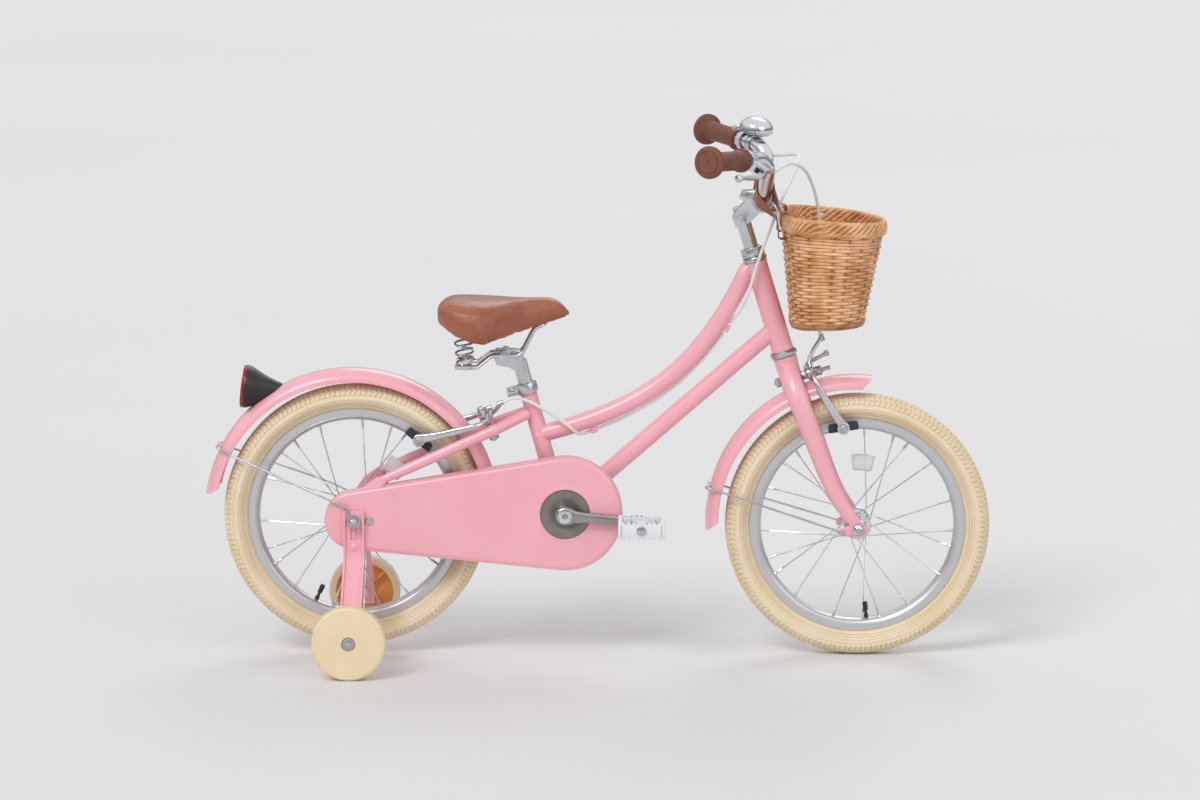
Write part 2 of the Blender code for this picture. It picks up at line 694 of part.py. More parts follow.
def make_frame(body):
    head = rod(head_point(0), head_point(HEAD_TUBE_LENGTH), HEAD_TUBE_RADIUS, 14)
    top_tube = tube(top_tube_path(8), TUBE_RADIUS, 12)
    shell = lathe([(BRACKET_SHELL_RADIUS, -BRACKET_SHELL_HALF), (BRACKET_SHELL_RADIUS, BRACKET_SHELL_HALF)],
                  14, (BRACKET_X, 0, BRACKET_Z), closed=False)
    down_tube = rod((BRACKET_X + 4, 0, BRACKET_Z + 3.5), head_point(35.0), TUBE_RADIUS, 10)
    seat_tube = rod(seat_point(0), seat_point(190), SEAT_TUBE_RADIUS, 12)
    parts = [top_tube, shell, down_tube, seat_tube]
    for _, side in SIDES:
        flip = Matrix.Diagonal((1, side, 1, 1))
        stay_path = rounded([STAY_TOP, STAY_KNEE, STAY_END], 30.0, 2)
        stay_path.insert(-1, STAY_KNEE.lerp(STAY_END, 0.75))
        sizes = [STAY_RADIUS] * (len(stay_path) - 1) + [STAY_RADIUS - 2.7]
        seat_stay = tube([flip @ point for point in stay_path], sizes, 7)
        chain_stay = tube([(BRACKET_X - 8, side * 20, BRACKET_Z - 1), (150.0, side * 39.5, 214.5),
                           (26.0, side * 53.8, REAR_AXLE_Z + 1)],
                          [CHAINSTAY_RADIUS, CHAINSTAY_RADIUS, CHAINSTAY_RADIUS - 1.4], 7)
        plate = prism(dropout_outline(), side * DROPOUT_INNER, side * (DROPOUT_INNER + DROPOUT_THICKNESS))
        parts += [seat_stay, chain_stay, plate]
    parts.append(rod((BRIDGE.x, -38.4, BRIDGE.z), (BRIDGE.x, 38.4, BRIDGE.z), 7.0, 8))
    low_bridge = Vector((0, 0, REAR_AXLE_Z + LOW_BRIDGE_UP))
    rise = low_bridge.z - REAR_GUARD_CENTRE.z
    reach = GUARD_RADIUS + SEAT_GAP + LOW_BRIDGE_RADIUS
    low_bridge.x = REAR_GUARD_CENTRE.x + math.sqrt(reach ** 2 - rise ** 2)
    parts.append(rod(low_bridge - Y_AXIS * 31, low_bridge + Y_AXIS * 31, LOW_BRIDGE_RADIUS, 8))
    parts += [cable_clip(place, slope) for place, slope in CLIPS]
    solid = union(head, *parts)
    cuts = [bore(head_point(-5), head_point(HEAD_TUBE_LENGTH + 5), STEERER_RADIUS + 0.8, 14),
            bore(seat_point(-5), seat_point(SEAT_TUBE_BORE_DEPTH), POST_RADIUS + RUN_GAP, 12),
            bore((BRACKET_X, -50, BRACKET_Z), (BRACKET_X, 50, BRACKET_Z), SPINDLE_RADIUS + RUN_GAP, 12),
            bore((0, -80, REAR_AXLE_Z), (0, 80, REAR_AXLE_Z), AXLE_RADIUS + SEAT_GAP, 10),
            block((-30, -80, REAR_AXLE_Z - 3.6), (0, 80, REAR_AXLE_Z + 3.6)),
            rod((38, -80, REAR_AXLE_Z + 56), (38, 80, REAR_AXLE_Z + 56), 2.8, 8),
            bore(bridge_point(-30), bridge_point(30), BRAKE_BOLT_RADIUS + SEAT_GAP, 8)]
    for place, slope in CLIPS:
        ahead = Vector((math.cos(slope), 0, math.sin(slope)))
        cuts.append(bore(place - ahead * 12, place + ahead * 12, CABLE_RADIUS + SEAT_GAP, 8))
    make_object("frame", cut(solid, *cuts), body, PINK, 0.25)


def make_headset_cups(body):
    inside = (STEERER_RADIUS + RUN_GAP) / math.cos(math.pi / 14)
    cup = [(inside, 0), (UPPER_CUP_RADIUS - 1.5, 0), (UPPER_CUP_RADIUS, CUP_HEIGHT - 5),
           (UPPER_CUP_RADIUS, CUP_HEIGHT), (inside, CUP_HEIGHT)]
    upper = lathe(cup, 14, head_point(HEAD_TUBE_LENGTH + SEAT_GAP), head_point(1) - head_point(0))
    make_object("headset_upper_cup", upper, body, STEEL, 0.25, 1.0)
    cup = [(inside, 0), (LOWER_CUP_RADIUS - 2.5, 0), (LOWER_CUP_RADIUS, 3),
           (LOWER_CUP_RADIUS, CUP_HEIGHT), (inside, CUP_HEIGHT)]
    lower_cup = lathe(cup, 14, head_point(-SEAT_GAP), head_point(0) - head_point(1))
    make_object("headset_lower_cup", lower_cup, body, STEEL, 0.25, 1.0)


def make_seat_collar(body):
    ring = rod(seat_point(-0.5), seat_point(14), SEAT_TUBE_RADIUS + 3.6, 14)
    ears = prism([(-30, -13), (-10, -13), (-10, 0), (-30, 0)], -8, 8)
    turn = Matrix.Rotation(-math.radians(SEAT_TUBE_LEAN), 4, "Y")
    ears = moved(ears, Matrix.Translation(seat_point(0)) @ turn)
    bolt = rod(seat_point(6.5, 23) + Y_AXIS * -12, seat_point(6.5, 23) + Y_AXIS * 12, 5.5, 8)
    collar = union(ring, ears, bolt)
    hole = bore(seat_point(-5), seat_point(20), SEAT_TUBE_RADIUS + SEAT_GAP, 14)
    make_object("seat_collar", cut(collar, hole), body, ALLOY, 0.3, 1.0)


def bridge_point(up, along=0.0, side=0.0):
    """A point in the rear brake's own axes: up its bolt, and back along the seat stays."""
    lean = math.radians(REAR_BRAKE_TILT)
    return BRIDGE + Vector((-math.sin(lean) * up - math.cos(lean) * along, side,
                            math.cos(lean) * up - math.sin(lean) * along))


# Mudguards

def guard_section(angle, centre):
    """The arched cross-section of a mudguard at an angle round the wheel."""
    ray = Vector((math.cos(angle), 0, math.sin(angle)))
    outer, inner = [], []
    for step in range(GUARD_ARC + 1):
        lift = math.pi * step / GUARD_ARC
        across = math.cos(lift)
        crown = math.sin(lift)
        reach = GUARD_RADIUS - GUARD_DEPTH * (1 - crown)
        wall = GUARD_WALL * (0.2 + 0.8 * crown)
        outer.append(centre + ray * reach + Y_AXIS * GUARD_HALF_WIDTH * across)
        inner.append(centre + ray * (reach - wall) + Y_AXIS * (GUARD_HALF_WIDTH - GUARD_WALL) * across)
    return outer + inner[::-1]


def guard_solid(first, last, centre=Vector((0, 0, 0))):
    count = max(2, round((last - first) / GUARD_STEP))
    rings = [guard_section(math.radians(first + (last - first) * step / count), centre)
             for step in range(count + 1)]
    return solid_from_rings(rings)


def stay_wire(angle, foot, centre):
    """A wire stay: from one axle end, over the mudguard's outside and down to the other end.

    The angle is where it crosses the mudguard, seen from the mudguard's centre, which is given
    from the axle; the foot is a list of points at the axle end.
    """
    ray = Vector((math.cos(angle), 0, math.sin(angle)))
    edge = centre + ray * (GUARD_RADIUS - GUARD_DEPTH - 3) + Y_AXIS * (GUARD_HALF_WIDTH + 3.4)
    crown = centre + ray * (GUARD_RADIUS + STAY_WIRE_RADIUS + SEAT_GAP + 0.8)
    shoulder = crown + Y_AXIS * (GUARD_HALF_WIDTH + 1.0)
    half = [Vector(point) for point in foot] + [edge, shoulder]
    path = half + [Vector((p.x, -p.y, p.z)) for p in reversed(half)]
    radii = [6.0] * (len(foot) - 1) + [14.0, 6.0]
    return tube(rounded(path, radii + radii[::-1], 1), STAY_WIRE_RADIUS, 5)


def eye_ring(centre, side, low, high, hole, rim):
    return lathe([(hole, side * low), (rim, side * low), (rim, side * high), (hole, side * high)], 8, centre)


def reach_guard(start, way, centre):
    """How far it is from a point outside a mudguard, along a way, to just through its wall."""
    offset = start - centre
    inward = -offset.dot(way)
    return inward - math.sqrt(inward ** 2 - offset.length_squared + (GUARD_RADIUS - GUARD_TAB_SINK) ** 2)


def make_rear_guard(body):
    centre = REAR_GUARD_CENTRE
    guard = guard_solid(REAR_GUARD_FROM, REAR_GUARD_TO, centre)
    lean = Matrix.Rotation(-math.radians(REAR_BRAKE_TILT), 4, "Y")
    reach = reach_guard(bridge_point(-9.6), -(lean @ X_AXIS), centre)
    tab = moved(block((-reach, -9, -10.4), (9, 9, -8.8)), Matrix.Translation(BRIDGE) @ lean)
    ray = math.radians(REAR_GUARD_FROM + 5)
    foot = [(GUARD_RADIUS * math.cos(ray), GUARD_RADIUS * math.sin(ray)),
            ((GUARD_RADIUS - 1.6) * math.cos(ray), (GUARD_RADIUS - 1.6) * math.sin(ray)),
            (GUARD_RADIUS - 2.0, 0), (GUARD_RADIUS - 0.4, 0)]
    tongue = moved(prism(foot, -9, 9), Matrix.Translation(centre))
    hole = rod(bridge_point(-30), bridge_point(0), BRAKE_BOLT_RADIUS + RUN_GAP, 8)
    make_object("rear_mudguard", cut(union(guard, tab, tongue), hole), body, PINK, 0.25)

    shift = centre - Z_AXIS * REAR_AXLE_Z
    angle = math.atan2(REAR_STAY_CROSSING[1] - centre.z, REAR_STAY_CROSSING[0] - centre.x)
    inner = STRAP_INNER + STRAP_WALL + SEAT_GAP
    level = inner + STAY_WIRE_RADIUS
    clear = STRAP_INNER + STRAP_WALL + 1.0
    foot = [(-6.5, level, 7.6), (-7.5, level, 19.5), (-50.0, clear + 0.8, 39.0)]
    wire = stay_wire(angle, foot, shift)
    hole = (AXLE_RADIUS + SEAT_GAP) / math.cos(math.pi / 8)
    eyes = [eye_ring((0, 0, 0), side, inner, inner + 2.4, hole, 10.5) for side in (-1, 1)]
    stay = moved(union(wire, *eyes), Matrix.Translation((0, 0, REAR_AXLE_Z)))
    make_object("rear_mudguard_stay", stay, body, STEEL, 0.25, 1.0)


def make_front_guard(body, axle):
    """The front mudguard with its tab under the fork crown, and its stay, in the steering axes."""
    meets = math.radians(GUARD_MEETS_CROWN)
    centre = (Z_AXIS * -(CROWN_DROP + GUARD_CROWN_ROOM)
              - Vector((math.cos(meets), 0, math.sin(meets))) * GUARD_RADIUS)
    upright = Matrix.Translation(axle) @ Matrix.Rotation(math.radians(HEAD_LEAN), 4, "Y")
    shift = upright.inverted() @ centre
    guard = moved(guard_solid(FRONT_GUARD_FROM, FRONT_GUARD_TO, shift), upright)
    tab_back, tab_top = -16.8, -CROWN_BOLT_DROP + 8
    reach = reach_guard(Vector((tab_back, 0, tab_top)), -Z_AXIS, centre)
    tab = block((tab_back, -8, tab_top - reach), (tab_back + 1.5, 8, tab_top))
    hole = rod((-30, 0, -CROWN_BOLT_DROP), (-10, 0, -CROWN_BOLT_DROP), BRAKE_BOLT_RADIUS + RUN_GAP, 8)
    make_object("front_mudguard", cut(union(guard, tab), hole), body, PINK, 0.25)
    angle = math.atan2(FRONT_STAY_CROSSING[1] - FRONT_AXLE_Z - shift.z,
                       FRONT_STAY_CROSSING[0] - WHEELBASE - shift.x)
    wire = stay_wire(angle, [(-23.5, 50.8, 2.0)], shift)
    studs = [rod((-23.5, side * 48.7, 2.0), (-23.5, side * 53.5, 2.0), 4.2, 6) for side in (-1, 1)]
    make_object("front_mudguard_stay", moved(union(wire, *studs), upright), body, STEEL, 0.25, 1.0)


def make_rear_reflector(body):
    """A cone-shaped housing that sits on the mudguard, with a red lens to the rear."""
    tilt = math.radians(7.0)
    axis = Vector((math.cos(tilt), 0, -math.sin(tilt)))
    turn = math.radians(REFLECTOR_TURN)
    lens_centre = (REAR_GUARD_CENTRE + Vector((math.cos(turn), 0, math.sin(turn)))
                   * (GUARD_RADIUS + REFLECTOR_STANDOFF))
    profile = [(31.8, -3.2), (32.0, 3.0), (29.0, 12.0), (15.0, 42.0), (11.0, 56.0)]
    housing = lathe(profile, 16, lens_centre, axis, closed=False)
    recess = lathe([(28.6, -6), (28.6, 0)], 16, lens_centre, axis, closed=False)
    seat = GUARD_RADIUS - 0.75 + SEAT_GAP      # the guard's flat panels lie inside its radius
    clearance = lathe([(seat, -40), (seat, 40)], 60,
                      REAR_GUARD_CENTRE, closed=False)
    make_object("rear_reflector_housing", cut(housing, recess, clearance), body, BLACK, 0.35)
    lens = lathe([(26.0, -4.2), (28.2, -3.0), (28.2, -SEAT_GAP)], 16, lens_centre, axis, closed=False)
    make_object("rear_reflector_lens", lens, body, RED, 0.2)


# Chain case, chain and sprockets

def belt_outline(front_radius, rear_radius, front_steps=16, rear_steps=10):
    """The outline of a belt round the bottom bracket and the rear axle."""
    dx, dz = BRACKET_X, BRACKET_Z - REAR_AXLE_Z
    distance = math.hypot(dx, dz)
    slope = math.atan2(dz, dx)
    splay = math.acos((rear_radius - front_radius) / distance)
    front_radius /= math.cos(splay / front_steps)
    rear_radius /= math.cos((math.pi - splay) / rear_steps)
    points = []
    for step in range(front_steps + 1):
        angle = slope - splay + 2 * splay * step / front_steps
        points.append((dx + front_radius * math.cos(angle), BRACKET_Z + front_radius * math.sin(angle)))
    for step in range(rear_steps + 1):
        angle = slope + splay + (math.tau - 2 * splay) * step / rear_steps
        points.append((rear_radius * math.cos(angle), REAR_AXLE_Z + rear_radius * math.sin(angle)))
    return points


def pitch_radius(teeth):
    return LINK_PITCH / (2 * math.sin(math.pi / teeth))


def gear_outline(teeth, centre=(0, 0)):
    points = []
    for index in range(teeth):
        for share, depth in ((0.0, 2.4), (0.5, -3.2)):
            angle = math.tau * (index + share) / teeth
            radius = pitch_radius(teeth) + depth
            points.append((centre[0] + radius * math.cos(angle), centre[1] + radius * math.sin(angle)))
    return points


def make_chain_case(body):
    back = -CASE_FACE + CASE_DEPTH
    outer = prism(belt_outline(CASE_FRONT_RADIUS, CASE_REAR_RADIUS, 14, 8), -CASE_FACE, back)
    inner = prism(belt_outline(CASE_FRONT_RADIUS - CASE_WALL, CASE_REAR_RADIUS - CASE_WALL, 14, 8),
                  -CASE_FACE + CASE_WALL, back + 5)
    tray = cut(outer, inner)
    centre = (BRACKET_X, 0, BRACKET_Z)
    ring = lathe([(CASE_HOLE_RADIUS + 4.2, -CASE_FACE + 0.5), (CASE_HOLE_RADIUS + 3.0, -CASE_FACE - 1.2)],
                 20, centre, closed=False)
    boss = lathe([(5.5, -CASE_FACE + 0.5), (5.5, -CASE_FACE - 2.2), (3.5, -CASE_FACE - 3.6)], 8,
                 (23, 0, REAR_AXLE_Z), closed=False)
    hole = lathe([(CASE_HOLE_RADIUS, -90), (CASE_HOLE_RADIUS, -50)], 20, centre, closed=False)
    axle_hole = rod((0, -90, REAR_AXLE_Z), (0, -50, REAR_AXLE_Z), AXLE_RADIUS + SEAT_GAP, 12)
    notch = block((2, -DROPOUT_INNER - DROPOUT_THICKNESS - SEAT_GAP, REAR_AXLE_Z + 20),
                  (64, 0, REAR_AXLE_Z + 70))
    case = cut(union(tray, ring, boss), hole, axle_hole, notch)
    make_object("chain_case", case, body, PINK, 0.25)


def make_chain(body):
    low, high = 3.0, 6.8
    front, rear = pitch_radius(CHAINRING_TEETH), pitch_radius(SPROCKET_TEETH)
    loop = prism(belt_outline(front + high, rear + high, 12, 8), -CHAIN_LINE - 4, -CHAIN_LINE + 4)
    inside = prism(belt_outline(front + low, rear + low, 12, 8), -CHAIN_LINE - 9, -CHAIN_LINE + 9)
    make_object("chain", cut(loop, inside), body, STEEL, 0.4, 1.0)


def make_sprocket(body, hub_seat_radius):
    teeth = prism(gear_outline(SPROCKET_TEETH), -CHAIN_LINE - 1.4, -CHAIN_LINE + 1.4)
    carrier = lathe([(23.0, -CHAIN_LINE - 4.5), (23.0, -CHAIN_LINE + 3.5)], 12, closed=False)
    hole = lathe([(hub_seat_radius / math.cos(math.pi / HUB_STEPS) + RUN_GAP, -70),
                  (hub_seat_radius / math.cos(math.pi / HUB_STEPS) + RUN_GAP, -20)], HUB_STEPS, closed=False)
    make_object("rear_sprocket", cut(union(teeth, carrier), hole), body, STEEL, 0.35, 1.0)


# Cranks and pedals

def crank_direction(side):
    angle = -math.radians(CRANK_DROP) + (math.pi if side > 0 else 0.0)
    return Vector((math.cos(angle), 0, math.sin(angle)))


def crank_arm(side):
    """A tapered arm with a rounded eye at each end, pointing along its own direction."""
    ahead = crank_direction(side)
    up = Vector((-ahead.z, 0, ahead.x))
    profile = []
    for centre, radius, start in ((0.0, 14.5, 90), (CRANK_LENGTH, 10.5, -90)):
        for step in range(5):
            angle = math.radians(start + 45 * step)
            profile.append(ahead * (centre + radius * math.cos(angle)) + up * radius * math.sin(angle))
    near, far = side * CRANK_INNER, side * (CRANK_INNER + CRANK_THICKNESS)
    return solid_from_rings([[point + Y_AXIS * place for point in profile] for place in (near, far)])


def make_cranks(body):
    """Right: chainring, spider, disc, arm and pedal axle. Left: arm, bottom bracket axle and pedal axle."""
    ring = prism(gear_outline(CHAINRING_TEETH), -CHAIN_LINE - 1.3, -CHAIN_LINE + 1.3)
    reach = pitch_radius(CHAINRING_TEETH) - 13
    for arm in range(5):
        angle = math.tau * (arm + 0.5) / 5
        middle = Vector((math.cos(angle), 0, math.sin(angle))) * (reach * 0.66)
        ring = cut(ring, rod(middle + Y_AXIS * -70, middle + Y_AXIS * -20, 10.5, 6))
    outer = CRANK_INNER + CRANK_THICKNESS
    boss = lathe([(15.0, -CHAIN_LINE + 4), (15.0, -CRANK_INNER - 1)], 10, closed=False)
    disc = lathe([(CASE_HOLE_RADIUS - 2.0, -CASE_FACE + 1.0), (CASE_HOLE_RADIUS - 2.0, -CASE_FACE - 0.6)],
                 20, closed=False)
    cap = lathe([(9.5, -outer + 1), (9.5, -outer - 1.5), (6.0, -outer - 3.0)], 8, closed=False)
    pedal_axle = {}
    for name, side in SIDES:
        tip = crank_direction(side) * CRANK_LENGTH
        pedal_axle[name] = rod(tip + Y_AXIS * side * (outer - 2),
                               tip + Y_AXIS * side * (outer + 3 + PEDAL_WIDTH - 6), PEDAL_AXLE_RADIUS, 8)
    socket = bore((0, -outer + 3, 0), (0, 0, 0), SPINDLE_RADIUS + SEAT_GAP, 12)
    right = cut(union(ring, boss, disc, crank_arm(-1), cap, pedal_axle["right"]), socket)
    make_object("crank_right", right, body, STEEL, 0.25, 1.0)
    spindle = rod((0, -outer + 3.6, 0), (0, outer - 2, 0), SPINDLE_RADIUS, 12)
    cap_left = lathe([(9.5, outer - 1), (9.5, outer + 1.5), (6.0, outer + 3.0)], 8, closed=False)
    collar = lathe([(13.0, BRACKET_SHELL_HALF + 1), (13.0, CRANK_INNER + 1)], 12, closed=False)
    left = union(crank_arm(1), spindle, collar, cap_left, pedal_axle["left"])
    make_object("crank_left", left, body, STEEL, 0.25, 1.0)


def make_pedal(name, side, body):
    """A platform pedal: a hub tube, two tread rails and end plates, with open windows."""
    near = CRANK_INNER + CRANK_THICKNESS + 3.5
    far = near + PEDAL_WIDTH
    half_x, half_z = PEDAL_LENGTH / 2, PEDAL_THICKNESS / 2
    outline = [(-half_x, -half_z + 5), (-half_x + 5, -half_z), (half_x - 5, -half_z), (half_x, -half_z + 5),
               (half_x, half_z - 5), (half_x - 5, half_z), (-half_x + 5, half_z), (-half_x, half_z - 5)]
    body_block = prism(outline, side * near, side * far)
    windows = []
    for middle in (-19.5, 19.5):
        windows.append(block((middle - 9.5, min(side * (near + 7), side * (far - 7)), -30),
                             (middle + 9.5, max(side * (near + 7), side * (far - 7)), 30)))
    hole = bore((0, side * (near - 5), 0), (0, side * (far - 5), 0), PEDAL_AXLE_RADIUS + RUN_GAP, 8)
    make_object(name, cut(body_block, *windows, hole), body, CLEAR, 0.3)


# Stabilisers

def make_stabiliser_bracket(name, side, body):
    """A pressed steel channel from the axle down and out, with the wheel's bolt in its foot."""
    low_web = STABILISER_FACE - STABILISER_WIDTH - 9.5
    line = rounded([(0, STRAP_INNER, 226.0), (0, STRAP_INNER, 150.0), (0, low_web, 72.0),
                    (0, low_web, 38.0)], [36.0, 30.0], 2)
    section = [(-STRAP_HALF_WIDTH, 0), (STRAP_HALF_WIDTH, 0), (STRAP_HALF_WIDTH, STRAP_DEPTH),
               (STRAP_HALF_WIDTH - 3, STRAP_DEPTH), (STRAP_HALF_WIDTH - 3, STRAP_WALL),
               (-STRAP_HALF_WIDTH + 3, STRAP_WALL), (-STRAP_HALF_WIDTH + 3, STRAP_DEPTH),
               (-STRAP_HALF_WIDTH, STRAP_DEPTH)]
    rings = []
    for point, across, along in sweep_frames([Vector(p) for p in line], (1, 0, 0)):
        rings.append([point + across * u + along * v * (1 if along.y > 0 else -1) for u, v in section])
    channel = solid_from_rings(rings)
    z = STABILISER_RADIUS
    head = STABILISER_FACE - 3.5
    bolt = rod((0, low_web - 1, z), (0, head - 1, z), STABILISER_BOLT_RADIUS, 8)
    washer = lathe([(8.5, head - 2.2), (8.5, head - 1.0), (5.0, head)], 8, (0, 0, z), closed=False)
    shoulder = lathe([(9.0, low_web - 6), (9.0, STABILISER_FACE - STABILISER_WIDTH - SEAT_GAP)], 8,
                     (0, 0, z), closed=False)
    dimple = lathe([(6.0, STRAP_INNER + STRAP_WALL - 1), (6.0, STRAP_INNER + STRAP_WALL + 1.2),
                    (3.5, STRAP_INNER + STRAP_WALL + 2.4)], 8, (0, 0, 171.0), closed=False)
    solid = union(channel, bolt, washer, shoulder, dimple)
    slot = prism([(-AXLE_RADIUS - SEAT_GAP, 182.0), (AXLE_RADIUS + SEAT_GAP, 182.0),
                  (AXLE_RADIUS + SEAT_GAP, REAR_AXLE_Z + 2.2), (2.2, REAR_AXLE_Z + AXLE_RADIUS + SEAT_GAP),
                  (-2.2, REAR_AXLE_Z + AXLE_RADIUS + SEAT_GAP), (-AXLE_RADIUS - SEAT_GAP, REAR_AXLE_Z + 2.2)],
                 50, 80)
    solid = cut(solid, slot)
    if side < 0:
        solid = mirrored(solid)
    make_object(name, solid, body, PINK, 0.25)


def make_stabiliser_wheel(name, side, body):
    """A plastic wheel: flat outer face with a bolt recess, hollow ribbed inner side."""
    face, back = STABILISER_FACE, STABILISER_FACE - STABILISER_WIDTH
    grow = 1 / math.cos(math.pi / STABILISER_STEPS)
    radius = STABILISER_RADIUS * grow
    inside = (STABILISER_BOLT_RADIUS + RUN_GAP) / math.cos(math.pi / STABILISER_STEPS)
    profile = [(inside, back), (11.0, back), (11.0, face - 9.0), (44.0, face - 9.0), (44.0, back),
               (radius - 4.0, back), (radius, back + 4.0), (radius, face - 4.0), (radius - 4.0, face),
               (10.0, face), (10.0, face - 6.0), (inside, face - 6.0)]
    wheel = lathe([(r, side * p) for r, p in profile], STABILISER_STEPS, phase=flat_phase(STABILISER_STEPS))
    ribs = []
    for index in range(4):
        low, high = sorted((side * (back + 4), side * (face - 8)))
        rib = block((10.0, low, -1.2), (44.6, high, 1.2))
        ribs.append(moved(rib, Matrix.Rotation(math.pi * (index / 2 + 0.25), 4, "Y")))
    make_object(name, union(wheel, *ribs), body, CREAM, 0.45)


# Fork, headset and stem

def make_fork(body):
    """Steerer, crown and two blades that curve forward to the axle, in the steering axes."""
    axle = steering_local((WHEELBASE, 0, FRONT_AXLE_Z))
    top = HEAD_TUBE_LENGTH + CUP_HEIGHT + 7
    steerer = tube([(0, 0, -CROWN_DROP), (0, 0, -18), (0, 0, -14), (0, 0, -9.6), (0, 0, -9.5), (0, 0, top)],
                   [14.5, 15.5, 17.5, 17.5, STEERER_RADIUS, STEERER_RADIUS], 14, (1, 0, 0))
    parts = []
    for _, side in SIDES:
        route = [(0, 9, -26), (0, 24, -40), (1, 37, -58), (2, 43.5, -78), (6, 45.0, -130),
                 (10.5, 45.6, -199), (17, 46, -236), (24.5, 46.2, axle.z + 22),
                 (axle.x - 2, 46.3, axle.z + 10), (axle.x, 46.3, axle.z)]
        sizes = [(14, 14), (13, 15), (13, 15.5), (12.5, 15.5), (11.8, 14.5), (10, 12.5), (7, 10.5),
                 (4, 9.5), (2.0, 8.5), (2.0, 7)]
        blade = tube([Vector((x, side * y, z)) for x, y, z in route], sizes, 8)
        tip = lathe([(12.0, side * 44.2), (12.0, side * 48.4)], 12, axle, closed=False)
        eyelet = prism([(axle.x - 30, axle.z - 3), (axle.x - 6, axle.z - 8), (axle.x - 6, axle.z + 9),
                        (axle.x - 26, axle.z + 8), (axle.x - 31, axle.z + 3)], side * 44.4, side * 48.2)
        parts += [blade, tip, eyelet]
    solid = union(steerer, *parts)
    cuts = [bore((0, 0, 60), (0, 0, top + 5), POST_RADIUS + SEAT_GAP, 12),
            bore((-30, 0, -CROWN_BOLT_DROP), (30, 0, -CROWN_BOLT_DROP), BRAKE_BOLT_RADIUS + SEAT_GAP, 8),
            bore(axle - Y_AXIS * 60, axle + Y_AXIS * 60, AXLE_RADIUS + SEAT_GAP, 10)]
    make_object("fork", cut(solid, *cuts), body, PINK, 0.25)
    return axle


def make_headset_nut(body):
    base = HEAD_TUBE_LENGTH + CUP_HEIGHT + 2 * SEAT_GAP
    washer_radius = LOCKNUT_RADIUS + 0.5
    lower = lathe([(washer_radius, base), (washer_radius, base + 4)], 14, axis=Z_AXIS, closed=False)
    hexagon = lathe([(LOCKNUT_RADIUS, base + 3), (LOCKNUT_RADIUS, base + LOCKNUT_HEIGHT - 1),
                     (LOCKNUT_RADIUS - 1.5, base + LOCKNUT_HEIGHT)], 6, axis=Z_AXIS, closed=False)
    trim = bore((0, 0, base - 1), (0, 0, base + 8), STEERER_RADIUS + SEAT_GAP, 14)
    through = bore((0, 0, base), (0, 0, base + 30), POST_RADIUS + SEAT_GAP, 12)
    make_object("headset_locknut", cut(union(lower, hexagon), trim, through), body, STEEL, 0.25, 1.0)


def make_stem(body):
    """A quill stem: post, forged shoulder, extension and the split clamp round the bar."""
    clamp = steering_local((BAR_CLAMP_X, 0, BAR_CLAMP_Z))
    quill_radius = POST_RADIUS - 0.1
    quill = tube([(0, 0, 70), (0, 0, 194), (0, 0, 209)], [quill_radius, quill_radius, 12.4], 12, (1, 0, 0))
    outline = [(-13.0, 196), (-14.0, 212), (-6.0, 221), (clamp.x - 8, clamp.z + 13), (clamp.x + 6, clamp.z + 8),
               (clamp.x + 4, clamp.z - 13), (clamp.x - 12, clamp.z - 18), (10.0, 198)]
    extension = prism(outline, -10.5, 10.5)
    sleeve = lathe([(BAR_CLAMP_RADIUS + 5.0, -17), (BAR_CLAMP_RADIUS + 5.0, 17)], 14, clamp, closed=False)
    ear = prism([(clamp.x - 6, clamp.z + 10), (clamp.x - 26, clamp.z + 5), (clamp.x - 31, clamp.z + 14),
                 (clamp.x - 24, clamp.z + 22), (clamp.x - 4, clamp.z + 17)], -12, 12)
    bolt = lathe([(6.0, -15), (6.0, 15)], 8, (clamp.x - 23, 0, clamp.z + 13.5), closed=False)
    top_bolt = lathe([(6.0, 214), (6.0, 223), (4.0, 225)], 6, (-4.5, 0, 0), Z_AXIS, closed=False)
    solid = union(quill, extension, sleeve, ear, bolt, top_bolt)
    hole = bore(clamp - Y_AXIS * 30, clamp + Y_AXIS * 30, BAR_CLAMP_RADIUS + SEAT_GAP, 12)
    make_object("stem", cut(solid, hole), body, ALLOY, 0.3, 1.0)


# Handlebar and what it carries

def grip_axis(side):
    """The grip's outer end, and the direction from its inner to its outer end."""
    end = Vector((GRIP_END[0], side * GRIP_END[1], GRIP_END[2]))
    inner = Vector((GRIP_INNER[0], side * GRIP_INNER[1], GRIP_INNER[2]))
    return end, (end - inner).normalized()


def lever_axes(side):
    """Outward along the grip, away from the bar towards the lever, and square to both."""
    _, outward = grip_axis(side)
    level = outward.cross(Z_AXIS).normalized()
    if level.x < 0:
        level = -level
    droop = math.radians(LEVER_DROOP)
    square = level.cross(outward).normalized()
    if square.z < 0:
        square = -square
    away = level * math.cos(droop) - square * math.sin(droop)
    normal = outward.cross(away).normalized()
    return outward, away, normal


def bar_path():
    half = [Vector((BAR_CLAMP_X, 0, BAR_CLAMP_Z)), Vector((BAR_CLAMP_X, BAR_FOOT, BAR_CLAMP_Z)),
            Vector(BAR_SHOULDER)]
    end, outward = grip_axis(1)
    half += [end - outward * BAR_KNEE, end - outward * 6.0]
    side = rounded(half, [26.0, 24.0, 26.0], 2)
    return [Vector((p.x, -p.y, p.z)) for p in reversed(side)] + side[1:]


